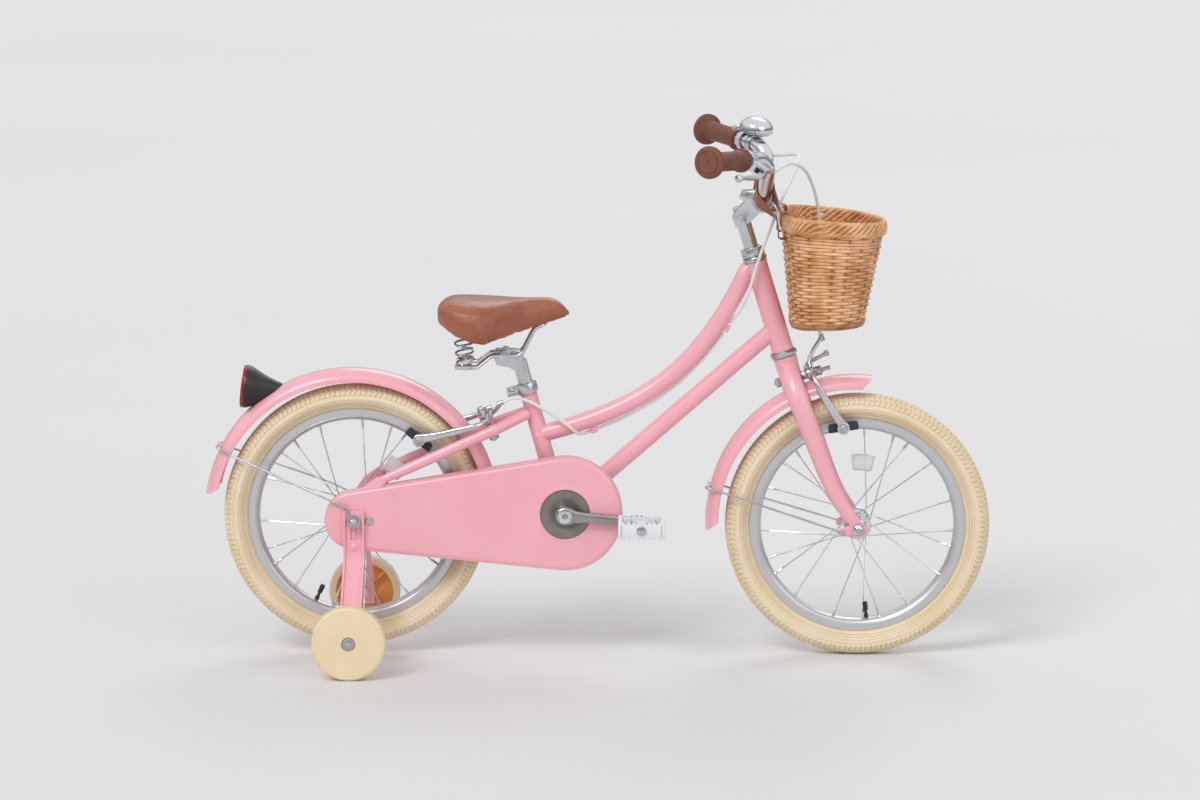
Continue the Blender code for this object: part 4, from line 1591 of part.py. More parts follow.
def build():
    clear_scene()
    bike = make_empty("bike_datum", None, (-LENGTH_MIDDLE, 0, 0))
    rear_axis = make_empty("rear_wheel_axis", bike, (0, 0, REAR_AXLE_Z))
    steering = make_empty("steering_axis", bike, (HEAD_BASE_X, 0, HEAD_BASE_Z), -HEAD_LEAN)
    bracket = make_empty("crank_axis", bike, (BRACKET_X, 0, BRACKET_Z))
    sprocket_axis = make_empty("sprocket_axis", rear_axis)

    make_frame(bike)
    make_headset_cups(bike)
    make_seat_collar(bike)
    make_rear_guard(bike)
    make_rear_reflector(bike)
    make_chain_case(bike)
    make_chain(bike)

    hub_seat = 17.0
    make_wheel("rear", rear_axis, REAR_HUB_HALF, math.radians(245), math.radians(50), -6.2, (33.0, hub_seat))
    make_sprocket(sprocket_axis, hub_seat)
    nut_seat = STRAP_INNER + STRAP_WALL + 2.4 + 2 * SEAT_GAP
    washers = (DROPOUT_INNER + DROPOUT_THICKNESS + SEAT_GAP, STRAP_INNER - SEAT_GAP)
    rear_axle = moved(axle_solid((nut_seat, 83.5), washers), Matrix.Translation((0, 0, REAR_AXLE_Z)))
    make_object("rear_axle", rear_axle, bike, STEEL, 0.25, 1.0)

    for name, side in SIDES:
        make_stabiliser_bracket("stabiliser_bracket_" + name, side, bike)
        wheel_axis = make_empty("stabiliser_axis_" + name, bike, (0, 0, STABILISER_RADIUS))
        make_stabiliser_wheel("stabiliser_wheel_" + name, side, wheel_axis)

    make_cranks(bracket)
    for name, side in SIDES:
        tip = crank_direction(side) * CRANK_LENGTH
        pedal_axis = make_empty("pedal_axis_" + name, bracket, tip)
        make_pedal("pedal_" + name, side, pedal_axis)

    axle = make_fork(steering)
    make_headset_nut(steering)
    make_stem(steering)
    make_handlebar(steering)
    front_axis = make_empty("front_wheel_axis", steering, axle, HEAD_LEAN)
    make_wheel("front", front_axis, FRONT_HUB_HALF, math.radians(-84), math.radians(85), 4.9)
    front_axle = moved(axle_solid((48.8, 56.5)), Matrix.Translation(axle))
    make_object("front_axle", front_axle, steering, STEEL, 0.25, 1.0)

    make_front_guard(steering, axle)

    for name, side in SIDES:
        make_grip("grip_" + name, side, steering)
        make_lever_clamp("brake_lever_clamp_" + name, side, steering)
        pivot = make_empty("lever_pivot_" + name, steering, lever_frame(side) @ PIVOT)
        make_lever("brake_lever_" + name, side, pivot)
        make_strap("basket_strap_" + name, side, steering)
    frame, _ = bell_frame()
    bell_pivot = make_empty("bell_lever_axis", steering, frame.to_translation())
    make_bell(steering, bell_pivot)
    make_basket(steering)

    make_brake("front", steering, (0, 0, -CROWN_BOLT_DROP), Matrix.Identity(4), 24.0, 15.3, -17.1, 60.0,
               FRONT_PAD, FRONT_PAD_TILT, FRONT_BARREL, FRONT_ANCHOR)
    make_brake("rear", bike, BRIDGE, rear_brake_matrix(), 12.0, 7.3, -10.8, 33.0,
               REAR_PAD, REAR_PAD_TILT, REAR_BARREL, REAR_ANCHOR)

    rail_z = 451.5
    post_axis = make_empty("seatpost_axis", bike)
    make_seatpost(post_axis, rail_z)
    make_saddle_rails(post_axis, rail_z)
    saddle_axis = make_empty("saddle_axis", post_axis)
    for name, side in SIDES:
        make_spring("saddle_spring_" + name, side, post_axis)
    make_saddle(saddle_axis, SPRING_TOP_Z + SPRING_WIRE + SEAT_GAP + 2.0)

    to_steering = steering_matrix()
    start, ahead = lever_cable_start(1)
    route = [to_steering @ Vector(p) for p in [start, ahead] + REAR_ROUTE_FRONT]
    make_cable("rear_brake_cable_front", route, steering)
    start, ahead = lever_cable_start(-1)
    route = [to_steering @ Vector(p) for p in [start, ahead] + FRONT_ROUTE]
    bolt = Vector((0, 0, -CROWN_BOLT_DROP))
    route += barrel_end(Matrix.Identity(4), bolt, FRONT_BARREL, FRONT_CABLE_ROOM)
    make_cable("front_brake_cable", route, steering)
    route = REAR_ROUTE_FRAME + barrel_end(rear_brake_matrix(), BRIDGE, REAR_BARREL, REAR_CABLE_ROOM)
    make_cable("rear_brake_cable", route, bike)
    bpy.context.view_layer.update()


build()
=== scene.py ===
import itertools
import math

import bpy
from mathutils import Matrix, Vector


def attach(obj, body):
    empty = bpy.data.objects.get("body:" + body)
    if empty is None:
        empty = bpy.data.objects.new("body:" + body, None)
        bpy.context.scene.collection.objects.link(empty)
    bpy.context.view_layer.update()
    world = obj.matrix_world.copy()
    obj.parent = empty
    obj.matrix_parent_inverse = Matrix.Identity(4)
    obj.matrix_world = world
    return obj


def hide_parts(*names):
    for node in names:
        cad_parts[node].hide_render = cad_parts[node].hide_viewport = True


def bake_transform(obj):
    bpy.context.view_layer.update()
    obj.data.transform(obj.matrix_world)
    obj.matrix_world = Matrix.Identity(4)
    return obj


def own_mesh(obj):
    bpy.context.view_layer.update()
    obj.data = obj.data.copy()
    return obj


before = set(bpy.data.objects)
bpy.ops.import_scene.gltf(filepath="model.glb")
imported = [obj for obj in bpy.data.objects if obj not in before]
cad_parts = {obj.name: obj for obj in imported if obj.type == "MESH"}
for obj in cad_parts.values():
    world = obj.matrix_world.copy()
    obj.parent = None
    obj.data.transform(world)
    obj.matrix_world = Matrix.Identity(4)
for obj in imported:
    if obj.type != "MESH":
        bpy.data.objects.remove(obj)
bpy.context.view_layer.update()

# Main sizes of the bicycle, in millimetres: X from the rear axle, Z from the floor
MM = 0.001
LENGTH_MIDDLE = 359.43
REAR_AXLE = (0.0, 209.8)
FRONT_AXLE = (747.0, 197.0)
CRANK = (313.0, 220.0)
CRANK_LENGTH = 114.0
CRANK_TURN = -math.radians(4.8)
HEAD_FOOT = (634.8, 458.0)
HEAD_LEAN = math.radians(17.1)
X, Y, Z = Vector((1, 0, 0)), Vector((0, 1, 0)), Vector((0, 0, 1))
SIDES = (("right", -1), ("left", 1))


# Places

def at(x, y, z):
    """A point of the bicycle, given in millimetres, where the frame has it."""
    return Vector((x - LENGTH_MIDDLE, y, z)) * MM


def steer(forward, side, up):
    """The same, for a point given ahead of, beside and up along the steering axis."""
    return at(HEAD_FOOT[0] - up * math.sin(HEAD_LEAN) + forward * math.cos(HEAD_LEAN), side,
              HEAD_FOOT[1] + up * math.cos(HEAD_LEAN) + forward * math.sin(HEAD_LEAN))


def heading(angle):
    """A direction in the middle plane, at an angle in radians from straight ahead."""
    return Vector((math.cos(angle), 0, math.sin(angle)))


REAR = at(REAR_AXLE[0], 0, REAR_AXLE[1])
FRONT = at(FRONT_AXLE[0], 0, FRONT_AXLE[1])
CRANK_MIDDLE = at(CRANK[0], 0, CRANK[1])
HEAD = steer(0, 0, 0)
STEER_UP = steer(0, 0, 1000) - HEAD
STEER_AHEAD = steer(1000, 0, 0) - HEAD
AXLE_AHEAD = (FRONT - HEAD).dot(STEER_AHEAD) / MM
AXLE_UP = (FRONT - HEAD).dot(STEER_UP) / MM
STAY_BRIDGE = at(200.4, 0, 339.4)
STAY_LEAN = math.radians(23.6)
BAR_CLAMP = at(603.3, 0, 681.8)
REAR_GUARD = at(-5.3, 0, REAR_AXLE[1])
FRONT_GUARD = at(741.7, 0, 201.0)


def rounded(corners, radii, steps=8):
    """A path through corners, with each inner corner turned into an arc of its radius in millimetres."""
    path = [corners[0]]
    for index in range(1, len(corners) - 1):
        corner = corners[index]
        back = (corners[index - 1] - corner).normalized()
        ahead = (corners[index + 1] - corner).normalized()
        half = back.angle(ahead) / 2
        radius = (radii[index - 1] if isinstance(radii, (list, tuple)) else radii) * MM
        centre = corner + (back + ahead).normalized() * radius / math.sin(half)
        first = corner + back * radius / math.tan(half) - centre
        last = corner + ahead * radius / math.tan(half) - centre
        turn = first.angle(last)
        for step in range(steps + 1):
            share = step / steps
            path.append(centre + (first * math.sin((1 - share) * turn)
                                  + last * math.sin(share * turn)) / math.sin(turn))
    path.append(corners[-1])
    return path


def smooth(points, steps=6):
    """More points, on a smooth curve through the given ones."""
    ends = [points[0] * 2 - points[1]] + list(points) + [points[-1] * 2 - points[-2]]
    dense = []
    for a, b, c, d in zip(ends, ends[1:], ends[2:], ends[3:]):
        for step in range(steps):
            t = step / steps
            dense.append((b * 2 + (c - a) * t + (a * 2 - b * 5 + c * 4 - d) * t * t
                          + (b * 3 - a - c * 3 + d) * t ** 3) / 2)
    return dense + [points[-1]]


def blend_values(stations, share):
    """The value at a share, in straight steps between stations, which are (share, value) pairs."""
    for (s0, v0), (s1, v1) in zip(stations, stations[1:]):
        if share <= s1:
            t = (share - s0) / (s1 - s0)
            return v0 + (v1 - v0) * t
    return stations[-1][1]


def direction(line, index):
    """The way a line of points runs at one of them."""
    return (line[min(index + 1, len(line) - 1)] - line[max(index - 1, 0)]).normalized()


def oval(count, power=1.0):
    """Points round a unit circle; a power below 1 makes it squarer."""
    turns = [math.tau * step / count for step in range(count)]
    return [tuple(math.copysign(abs(value) ** power, value) for value in (math.cos(turn), math.sin(turn)))
            for turn in turns]


def outward(side, *profile):
    """A turned profile whose distances along the axis run out to a side."""
    return [(radius, side * along) for radius, along in profile]


# Making pieces

def nothing_selected():
    """Object mode, with no piece selected."""
    if bpy.context.object and bpy.context.object.mode != "OBJECT":
        bpy.ops.object.mode_set(mode="OBJECT")
    bpy.ops.object.select_all(action="DESELECT")


def edit(piece):
    """Opens one piece in edit mode, with all its points selected."""
    nothing_selected()
    piece.select_set(True)
    bpy.context.view_layer.objects.active = piece
    bpy.ops.object.mode_set(mode="EDIT")
    bpy.ops.mesh.select_mode(type="VERT")
    bpy.ops.mesh.select_all(action="SELECT")


def sound(piece):
    """Merges doubles, drops loose edges and points every face outwards."""
    bpy.ops.mesh.select_all(action="SELECT")
    bpy.ops.mesh.remove_doubles(threshold=0.00001)
    bpy.ops.mesh.delete_loose(use_verts=True, use_edges=True, use_faces=False)
    bpy.ops.mesh.select_all(action="SELECT")
    bpy.ops.mesh.normals_make_consistent(inside=False)
    bpy.ops.object.mode_set(mode="OBJECT")
    return piece


def spun(profile, centre, axis=Y, steps=64):
    """A turned piece: a drawn profile of (radius, distance along the axis), spun round the axis."""
    axis = Vector(axis).normalized()
    across = X if abs(axis.x) < 0.8 else Z
    across = (across - axis * across.dot(axis)).normalized()
    nothing_selected()
    bpy.ops.mesh.primitive_circle_add(vertices=len(profile), fill_type="NOTHING")
    piece = bpy.context.object
    for vertex, (radius, along) in zip(piece.data.vertices, profile):
        vertex.co = centre + across * radius * MM + axis * along * MM
    edit(piece)
    bpy.ops.mesh.spin(steps=steps, angle=math.tau, use_auto_merge=True, center=centre, axis=axis)
    return sound(piece)


def swept(path, radius, sides=12, closed=False, taper=None):
    """A round bar drawn along a path as a bevelled curve, then made a mesh."""
    nothing_selected()
    bpy.ops.curve.primitive_nurbs_path_add()
    bar = bpy.context.object
    bar.data.splines.clear()
    line = bar.data.splines.new("POLY")
    line.points.add(len(path) - 1)
    for index, point in enumerate(path):
        line.points[index].co = (*point, 1.0)
        line.points[index].radius = taper[index] if taper else 1.0
    line.use_cyclic_u = closed
    line.use_smooth = True
    bar.data.twist_mode = "MINIMUM"
    bar.data.bevel_depth = radius * MM
    bar.data.bevel_resolution = max(0, sides // 2 - 2)
    bar.data.use_fill_caps = not closed
    bpy.ops.object.convert(target="MESH")
    piece = bpy.context.object
    edit(piece)
    return sound(piece)


def lofted(rings, wrap=False, caps=True):
    """A skin through equal rings: a grid whose rows are bent round to each ring in turn."""
    rows = [list(ring) + [ring[0]] for ring in rings]
    if wrap:
        rows.append(rows[0])
    nothing_selected()
    bpy.ops.mesh.primitive_grid_add(x_subdivisions=len(rows[0]) - 1, y_subdivisions=len(rows) - 1, size=2)
    piece = bpy.context.object
    order = sorted(piece.data.vertices, key=lambda v: (round(v.co.y, 4), round(v.co.x, 4)))
    places = [point for row in rows for point in row]
    for vertex, point in zip(order, places):
        vertex.co = point
    edit(piece)
    bpy.ops.mesh.remove_doubles(threshold=0.00001)
    if caps:
        bpy.ops.mesh.select_all(action="SELECT")
        bpy.ops.mesh.fill_holes(sides=0)
    return sound(piece)


def plate(outline, start, end, plane="XZ", bevel=0.0, segments=2):
    """A flat outline in metres, extruded from start to end, with its edges rounded."""
    def place(u, v, w):
        return {"XZ": (u, w, v), "XY": (u, v, w), "YZ": (w, u, v)}[plane]
    nothing_selected()
    bpy.ops.mesh.primitive_circle_add(vertices=len(outline), fill_type="NGON")
    piece = bpy.context.object
    for vertex, (u, v) in zip(piece.data.vertices, outline):
        vertex.co = place(u, v, start)
    edit(piece)
    push = Vector(place(0, 0, end - start))
    bpy.ops.mesh.extrude_region_move(TRANSFORM_OT_translate={"value": push})
    sound(piece)
    if bevel:
        soften(piece, bevel, segments)
    return piece


def box(low, high, bevel=0.0, segments=2):
    """A block between two corners in metres, with its edges rounded."""
    outline = [(low[0], low[1]), (high[0], low[1]), (high[0], high[1]), (low[0], high[1])]
    return plate(outline, low[2], high[2], "XY", bevel, segments)


def soften(piece, width, segments=2, angle=35):
    """Rounds the edges that turn by more than an angle in degrees."""
    modifier = piece.modifiers.new("bevel", "BEVEL")
    modifier.width = width * MM
    modifier.segments = segments
    modifier.limit_method = "ANGLE"
    modifier.angle_limit = math.radians(angle)
    modifier.harden_normals = False
    apply(piece, modifier)
    return piece


def apply(piece, modifier):
    """Applies a modifier to its piece."""
    nothing_selected()
    piece.select_set(True)
    bpy.context.view_layer.objects.active = piece
    bpy.ops.object.modifier_apply(modifier=modifier.name)


def joined(pieces):
    """Several pieces as one mesh."""
    nothing_selected()
    for piece in pieces:
        piece.select_set(True)
    bpy.context.view_layer.objects.active = pieces[0]
    if len(pieces) > 1:
        bpy.ops.object.join()
    return bpy.context.view_layer.objects.active


def settle(piece, name, body, finish, slot, *nodes, sharp=35):
    """Names a finished piece, gives it its material and its body, and hides the nodes it stands for."""
    piece.name = piece.data.name = name
    piece.data.materials.clear()
    piece.data.materials.append(finish)
    nothing_selected()
    piece.select_set(True)
    bpy.context.view_layer.objects.active = piece
    bpy.ops.object.shade_smooth_by_angle(angle=math.radians(sharp))
    if body:
        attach(piece, body)
    if nodes:
        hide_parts(*nodes)
    return piece


# Materials

def linear(code):
    """An sRGB hex colour as the linear values that Blender mixes."""
    values = [int(code[i:i + 2], 16) / 255 for i in (1, 3, 5)]
    return [v / 12.92 if v <= 0.04045 else ((v + 0.055) / 1.055) ** 2.4 for v in values] + [1.0]


def node(tree, kind, inputs=None, **settings):
    """Adds a node; each input is a value or the socket that feeds it."""
    made = tree.nodes.new("ShaderNode" + kind)
    for name, value in settings.items():
        setattr(made, name, value)
    for name, value in (inputs or {}).items():
        if isinstance(value, bpy.types.NodeSocket):
            tree.links.new(value, made.inputs[name])
        else:
            made.inputs[name].default_value = value
    return made


def per(size):
    """A texture scale whose features are about a size in millimetres."""
    return 1000.0 / size


def begin(name, **sockets):
    """A material with its shader's own values, and the Object coordinates its patterns follow."""
    material = bpy.data.materials.new(name)
    material.use_nodes = True
    tree = material.node_tree
    shader = tree.nodes["Principled BSDF"]
    for key, value in sockets.items():
        shader.inputs[key.replace("_", " ")].default_value = value
    place = tree.nodes.new("ShaderNodeTexCoord").outputs["Object"]
    return material, tree, shader, place


def noise(tree, vector, size, detail, **more):
    """Soft clouds with features of about a size in millimetres."""
    inputs = {"Vector": vector, "Scale": per(size), "Detail": detail, **more}
    return node(tree, "TexNoise", inputs).outputs["Fac"]


def spread(tree, value, low, high, first=0.0, last=1.0):
    """Stretches the values between low and high over first to last, and clamps the others."""
    return node(tree, "MapRange", {"Value": value, "From Min": low, "From Max": high, "To Min": first,
                                   "To Max": last}).outputs["Result"]


def mixed(tree, share, first, second):
    """A mix of two colours, each a hex colour or a socket."""
    a, b = (linear(colour) if isinstance(colour, str) else colour for colour in (first, second))
    return node(tree, "Mix", {"Factor": share, "A": a, "B": b}, data_type="RGBA").outputs["Result"]


def maths(tree, operation, *values):
    """The result of a sum on numbers or sockets."""
    return node(tree, "Math", dict(enumerate(values)), operation=operation).outputs["Value"]


def vectors(tree, operation, *values):
    """The result of a sum on vectors: a length or a distance is a number."""
    made = node(tree, "VectorMath", dict(enumerate(values)), operation=operation)
    return made.outputs["Value" if operation in ("LENGTH", "DISTANCE") else "Vector"]


def drift(tree, vector, first, second, size, detail=3.0):
    """A colour that drifts between two hex shades over patches of a size in millimetres."""
    return mixed(tree, spread(tree, noise(tree, vector, size, detail), 0.35, 0.65), first, second)


def relief(tree, shader, height, depth):
    """Raises the surface by a height from 0 to 1, times a depth in millimetres."""
    bump = node(tree, "Bump", {"Height": height, "Distance": depth * MM, "Strength": 1.0})
    tree.links.new(bump.outputs["Normal"], shader.inputs["Normal"])


def rough_between(tree, shader, vector, size, low, high):
    """A roughness that wanders between two values over patches of a size in millimetres."""
    share = spread(tree, noise(tree, vector, size, 4.0), 0.3, 0.7, low, high)
    tree.links.new(share, shader.inputs["Roughness"])


def surface(name, shades, patch, rough, grain, **sockets):
    """A finish with a drifting colour, an uneven gloss and a fine relief.

    patch is a size and a detail, rough a size and two values, grain a size, a detail and a depth.
    """
    material, tree, shader, place = begin(name, **sockets)
    tree.links.new(drift(tree, place, *shades, *patch), shader.inputs["Base Color"])
    rough_between(tree, shader, place, *rough)
    relief(tree, shader, noise(tree, place, *grain[:2]), grain[2])
    return material


def pink_enamel():
    """Baked gloss enamel on steel: a clear wet highlight with a faint orange-peel ripple in it."""
    return surface("pink_enamel", ("#F5B1BB", "#F2ABB6"), (90.0, 3.0), (120.0, 0.29, 0.33), (2.2, 1.0, 0.012),
                   IOR=1.5, Coat_Weight=0.5, Coat_Roughness=0.08)


def moulded(name, first, second, low, high, grain=0.02):
    """Injection-moulded plastic: an even colour with flow marks and a fine moulded grain."""
    return surface(name, (first, second), (40.0, 3.0), (18.0, low, high), (0.7, 2.0, grain), IOR=1.5)


def metal(name, first, second, low, high, grain, depth):
    """Bare or plated metal: a mottle of two close greys, uneven polish and its own surface grain."""
    return surface(name, (first, second), (32.0, 2.0), (18.0, low, high), (grain, 3.0, depth), Metallic=1.0)


def cream_rubber():
    """Vulcanised cream tyre rubber: matt, with mould bloom, a fine grain and tanned specks."""
    material, tree, shader, place = begin("cream_tyre_rubber", IOR=1.5, Specular_IOR_Level=0.35)
    base = drift(tree, place, "#EBDCBF", "#E5D3B1", 60.0)
    grime = spread(tree, noise(tree, place, 7.0, 6.0, Roughness=0.7), 0.56, 0.78, 0.0, 0.22)
    tree.links.new(mixed(tree, grime, base, "#D9BE90"), shader.inputs["Base Color"])
    rough_between(tree, shader, place, 12.0, 0.62, 0.8)
    relief(tree, shader, noise(tree, place, 0.9, 3.0), 0.08)
    return material


def turned_alloy(name, centre):
    """Anodised rolled aluminium: fine brush lines that run round the axle, and a soft grey sheen."""
    material, tree, shader, place = begin(name, Metallic=0.9)
    moved = node(tree, "Mapping", {"Vector": place, "Location": [-c for c in centre]}).outputs["Vector"]
    reach = vectors(tree, "LENGTH", vectors(tree, "MULTIPLY", moved, (1.0, 0.0, 1.0)))
    lines = node(tree, "TexNoise", {"W": reach, "Scale": per(0.8), "Detail": 3.0},
                 noise_dimensions="1D").outputs["Fac"]
    colour = mixed(tree, spread(tree, lines, 0.3, 0.7), "#DADBDD", "#CCCDD0")
    tree.links.new(colour, shader.inputs["Base Color"])
    rough_between(tree, shader, place, 9.0, 0.3, 0.42)
    relief(tree, shader, lines, 0.01)
    return material


def grip_rubber(name, side):
    """Soft brown rubber: matt, with 14 little round pits in each row, every row set half a step on, and
    painted shade in each pit.
    """
    material, tree, shader, place = begin("brown_grip_rubber_" + name, IOR=1.5, Specular_IOR_Level=0.4)
    end, out = grip_line(side)
    turn = out.to_track_quat("Z", "Y").inverted()
    along = node(tree, "Mapping", {"Vector": vectors(tree, "SUBTRACT", place, end),
                                   "Rotation": turn.to_euler()})
    parts = node(tree, "SeparateXYZ", {"Vector": along.outputs["Vector"]}).outputs
    turns = maths(tree, "MULTIPLY", maths(tree, "ARCTAN2", parts["Y"], parts["X"]), 14 / math.tau)
    rows = maths(tree, "MULTIPLY", parts["Z"], per(7.5))
    skew = maths(tree, "MULTIPLY", maths(tree, "FLOOR", rows), 0.5)
    cell = node(tree, "CombineXYZ", {"X": maths(tree, "FRACT", maths(tree, "ADD", turns, skew)),
                                     "Y": maths(tree, "FRACT", rows)}).outputs["Vector"]
    pits = spread(tree, vectors(tree, "DISTANCE", cell, (0.5, 0.5, 0.0)), 0.12, 0.22)
    flat = maths(tree, "MAXIMUM", pits, spread(tree, parts["Z"], -0.019, -0.018))
    body = drift(tree, place, "#80503E", "#724535", 16.0)
    # Painted shade: the dark brown #3A1E16 inside each pit stands for the shade in the recess, not for the
    # rubber's own colour.
    tree.links.new(mixed(tree, flat, "#3A1E16", body), shader.inputs["Base Color"])
    rough_between(tree, shader, place, 8.0, 0.5, 0.66)
    relief(tree, shader, flat, 0.6)
    return material


def saddle_leather():
    """Tanned leather cloth over foam: a fine cell grain, a soft sheen and lighter worn patches."""
    material, tree, shader, place = begin("tan_saddle_leather", IOR=1.5, Coat_Weight=0.3, Coat_Roughness=0.3)
    base = drift(tree, place, "#A05B3A", "#934F32", 42.0)
    worn = spread(tree, noise(tree, place, 11.0, 5.0), 0.55, 0.75, 0.0, 0.22)
    tree.links.new(mixed(tree, worn, base, "#B87147"), shader.inputs["Base Color"])
    rough_between(tree, shader, place, 10.0, 0.3, 0.4)
    cells = node(tree, "TexVoronoi", {"Vector": place, "Scale": per(1.3)}, feature="DISTANCE_TO_EDGE")
    relief(tree, shader, spread(tree, cells.outputs["Distance"], 0.0, 0.14), 0.05)
    return material


def willow(name, first, second, third):
    """Peeled, steamed and varnished willow: honey rods that differ, with streaks along them."""
    material, tree, shader, place = begin(name, IOR=1.5, Coat_Weight=0.25, Coat_Roughness=0.2)
    streak = node(tree, "Mapping", {"Vector": place, "Scale": (0.25, 0.25, 3.0)}).outputs["Vector"]
    base = drift(tree, streak, first, second, 6.0, 4.0)
    share = spread(tree, noise(tree, place, 30.0, 2.0), 0.42, 0.6)
    tree.links.new(mixed(tree, share, base, third), shader.inputs["Base Color"])
    rough_between(tree, shader, place, 5.0, 0.38, 0.55)
    relief(tree, shader, noise(tree, streak, 1.2, 4.0), 0.12)
    return material


def prismatic(name, colour, roughness, pitch, through):
    """Clear or red moulded acrylic with the little square prisms that throw light back."""
    material, tree, shader, place = begin(name, Base_Color=linear(colour), Roughness=roughness, IOR=1.49,
                                          Transmission_Weight=through)
    cell = vectors(tree, "FRACTION", vectors(tree, "MULTIPLY", place, (per(pitch),) * 3))
    relief(tree, shader, vectors(tree, "DISTANCE", cell, (0.5, 0.5, 0.5)), 0.5)
    return material


# Frame

def pink_frame(finish):
    """The step-through frame: swooping top tube, straight down tube, stays, dropouts and cable guides."""
    parts = []
    start, end = at(269.6, 0, 329.7), at(582.5, 0, 578.5)
    pull0 = start + heading(math.radians(13.8)) * 0.179
    pull1 = end - heading(math.radians(65.0)) * 0.154
    swoop = []
    for index in range(41):
        t = index / 40
        s = 1 - t
        swoop.append(start * s ** 3 + pull0 * 3 * s * s * t + pull1 * 3 * s * t * t + end * t ** 3)
    swoop.append(steer(-7.0, 0, 134.5))
    parts.append(swept(swoop, 13.0, 28, taper=[1.0] * 41 + [0.7]))
    parts.append(swept([at(317, 0, 223.5), steer(0, 0, 35)], 13.0, 28))
    parts.append(spun([(11.6, 0), (12.7, 0), (12.7, -190), (11.6, -190), (11.6, -187), (11.6, -5)],
                      at(253.4, 0, 407.0), heading(math.radians(90 + 15.4)), 40))
    parts.append(spun([(13.6, 0.0), (16.5, 0.0), (16.9, 2.0), (16.5, 6.0), (16.3, 12.0), (16.3, 127.0),
                       (16.5, 133.0),
                       (16.9, 137.0), (16.5, 139.0), (13.6, 139.0)], HEAD, STEER_UP, 48))
    parts.append(spun([(8.5, -34), (18.5, -34), (19.5, -33), (19.5, 33), (18.5, 34), (8.5, 34)],
                      CRANK_MIDDLE, Y, 40))
    for _, side in SIDES:
        knee, foot = at(214.0, side * 37.5, 345.4), at(34.0, side * 54.4, 266.6)
        stay = rounded([at(256.0, side * 13.0, 363.5), knee, foot], 30.0, 8)
        stay.insert(-1, knee.lerp(foot, 0.75))
        parts.append(swept(stay, 8.0, 20, taper=[1.0] * (len(stay) - 1) + [0.66]))
        low = smooth([at(305, side * 20, 219), at(150, side * 39.5, 214.5), at(26, side * 53.8, 210.8)], 8)
        parts.append(swept(low, 7.2, 20, taper=[1.0] * (len(low) - 4) + [0.95, 0.9, 0.85, 0.8]))
        outline = [REAR + heading(math.radians(a)) * 15 * MM for a in range(150, 331, 12)]
        outline += [REAR + Vector((x, 0, z)) * MM for x, z in ((40, -7), (42, 7), (26, 18), (30, 34),
                                                               (48, 60),
                                                               (36, 66), (8, 46), (-8, 22))]
        parts.append(plate([(p.x, p.z) for p in outline], side * 0.055, side * 0.060, bevel=1.0))
    parts.append(swept([STAY_BRIDGE - Y * 38 * MM, STAY_BRIDGE + Y * 38 * MM], 7.0, 20))
    parts.append(swept([at(223, -31, 217.8), at(223, 31, 217.8)], 6.0, 20))
    for x, z, slope in ((551.7, 490.7, 57.0), (355.0, 337.7, 20.5)):
        guide = box((-0.0055, -0.005, -0.0045), (0.0055, 0.005, 0.0075), 1.2)
        guide.data.transform(Matrix.Translation(at(x, 0, z)) @ Matrix.Rotation(-math.radians(slope), 4, "Y"))
        parts.append(guide)
    settle(joined(parts), "frame_tubes", "frame", finish, "pink_paint", "frame", sharp=40)


def pink_fork(finish):
    """Crown, two slim blades that sweep forward and flatten to the axle, and their end plates."""
    parts = [spun([(0, -56), (13.5, -56), (15.5, -52), (16.5, -36), (17.5, -22), (17.5, -10.5), (16.5, -9.6),
                   (12.7, -9.5), (12.7, 154), (0, 154)], HEAD, STEER_UP, 48)]
    for _, side in SIDES:
        route = [(0, 9, -26), (0, 24, -40), (1, 37, -58), (2, 43.5, -78), (6, 45.0, -130), (10.5, 45.6, -199),
                 (17, 46, -236), (24.5, 46.2, AXLE_UP + 22), (AXLE_AHEAD - 2, 46.3, AXLE_UP + 10),
                 (AXLE_AHEAD, 46.3, AXLE_UP)]
        sizes = [(14, 14), (13, 15), (13, 15.5), (12.5, 15.5), (11.8, 14.5), (10, 12.5), (7, 10.5), (4, 9.5),
                 (2.2, 8.5), (2.0, 7)]
        line = smooth([steer(u, side * v, w) for u, v, w in route], 4)
        sizes = smooth([Vector((*size, 0)) for size in sizes], 4)
        rings = []
        for index, (point, size) in enumerate(zip(line, sizes)):
            way = direction(line, index)
            across = (Y - way * Y.dot(way)).normalized()
            along = way.cross(across)
            rings.append([point + (across * size.x * c + along * size.y * s) * MM for c, s in oval(24)])
        parts.append(lofted(rings))
        parts.append(spun(outward(side, (4.9, 44.2), (11.4, 44.2), (12.0, 44.8), (12.0, 47.8), (11.4, 48.4),
                                  (4.9, 48.4)), FRONT, Y, 32))
        tab = [FRONT + (STEER_AHEAD * u + STEER_UP * w) * MM
               for u, w in ((-30, -3), (-6, -8), (-6, 9), (-26, 8), (-31, 3))]
        parts.append(plate([(p.x, p.z) for p in tab], side * 0.0444, side * 0.0482, bevel=1.0))
    settle(joined(parts), "fork_blades", "steering", finish, "pink_paint", "fork", sharp=40)


# Wheels

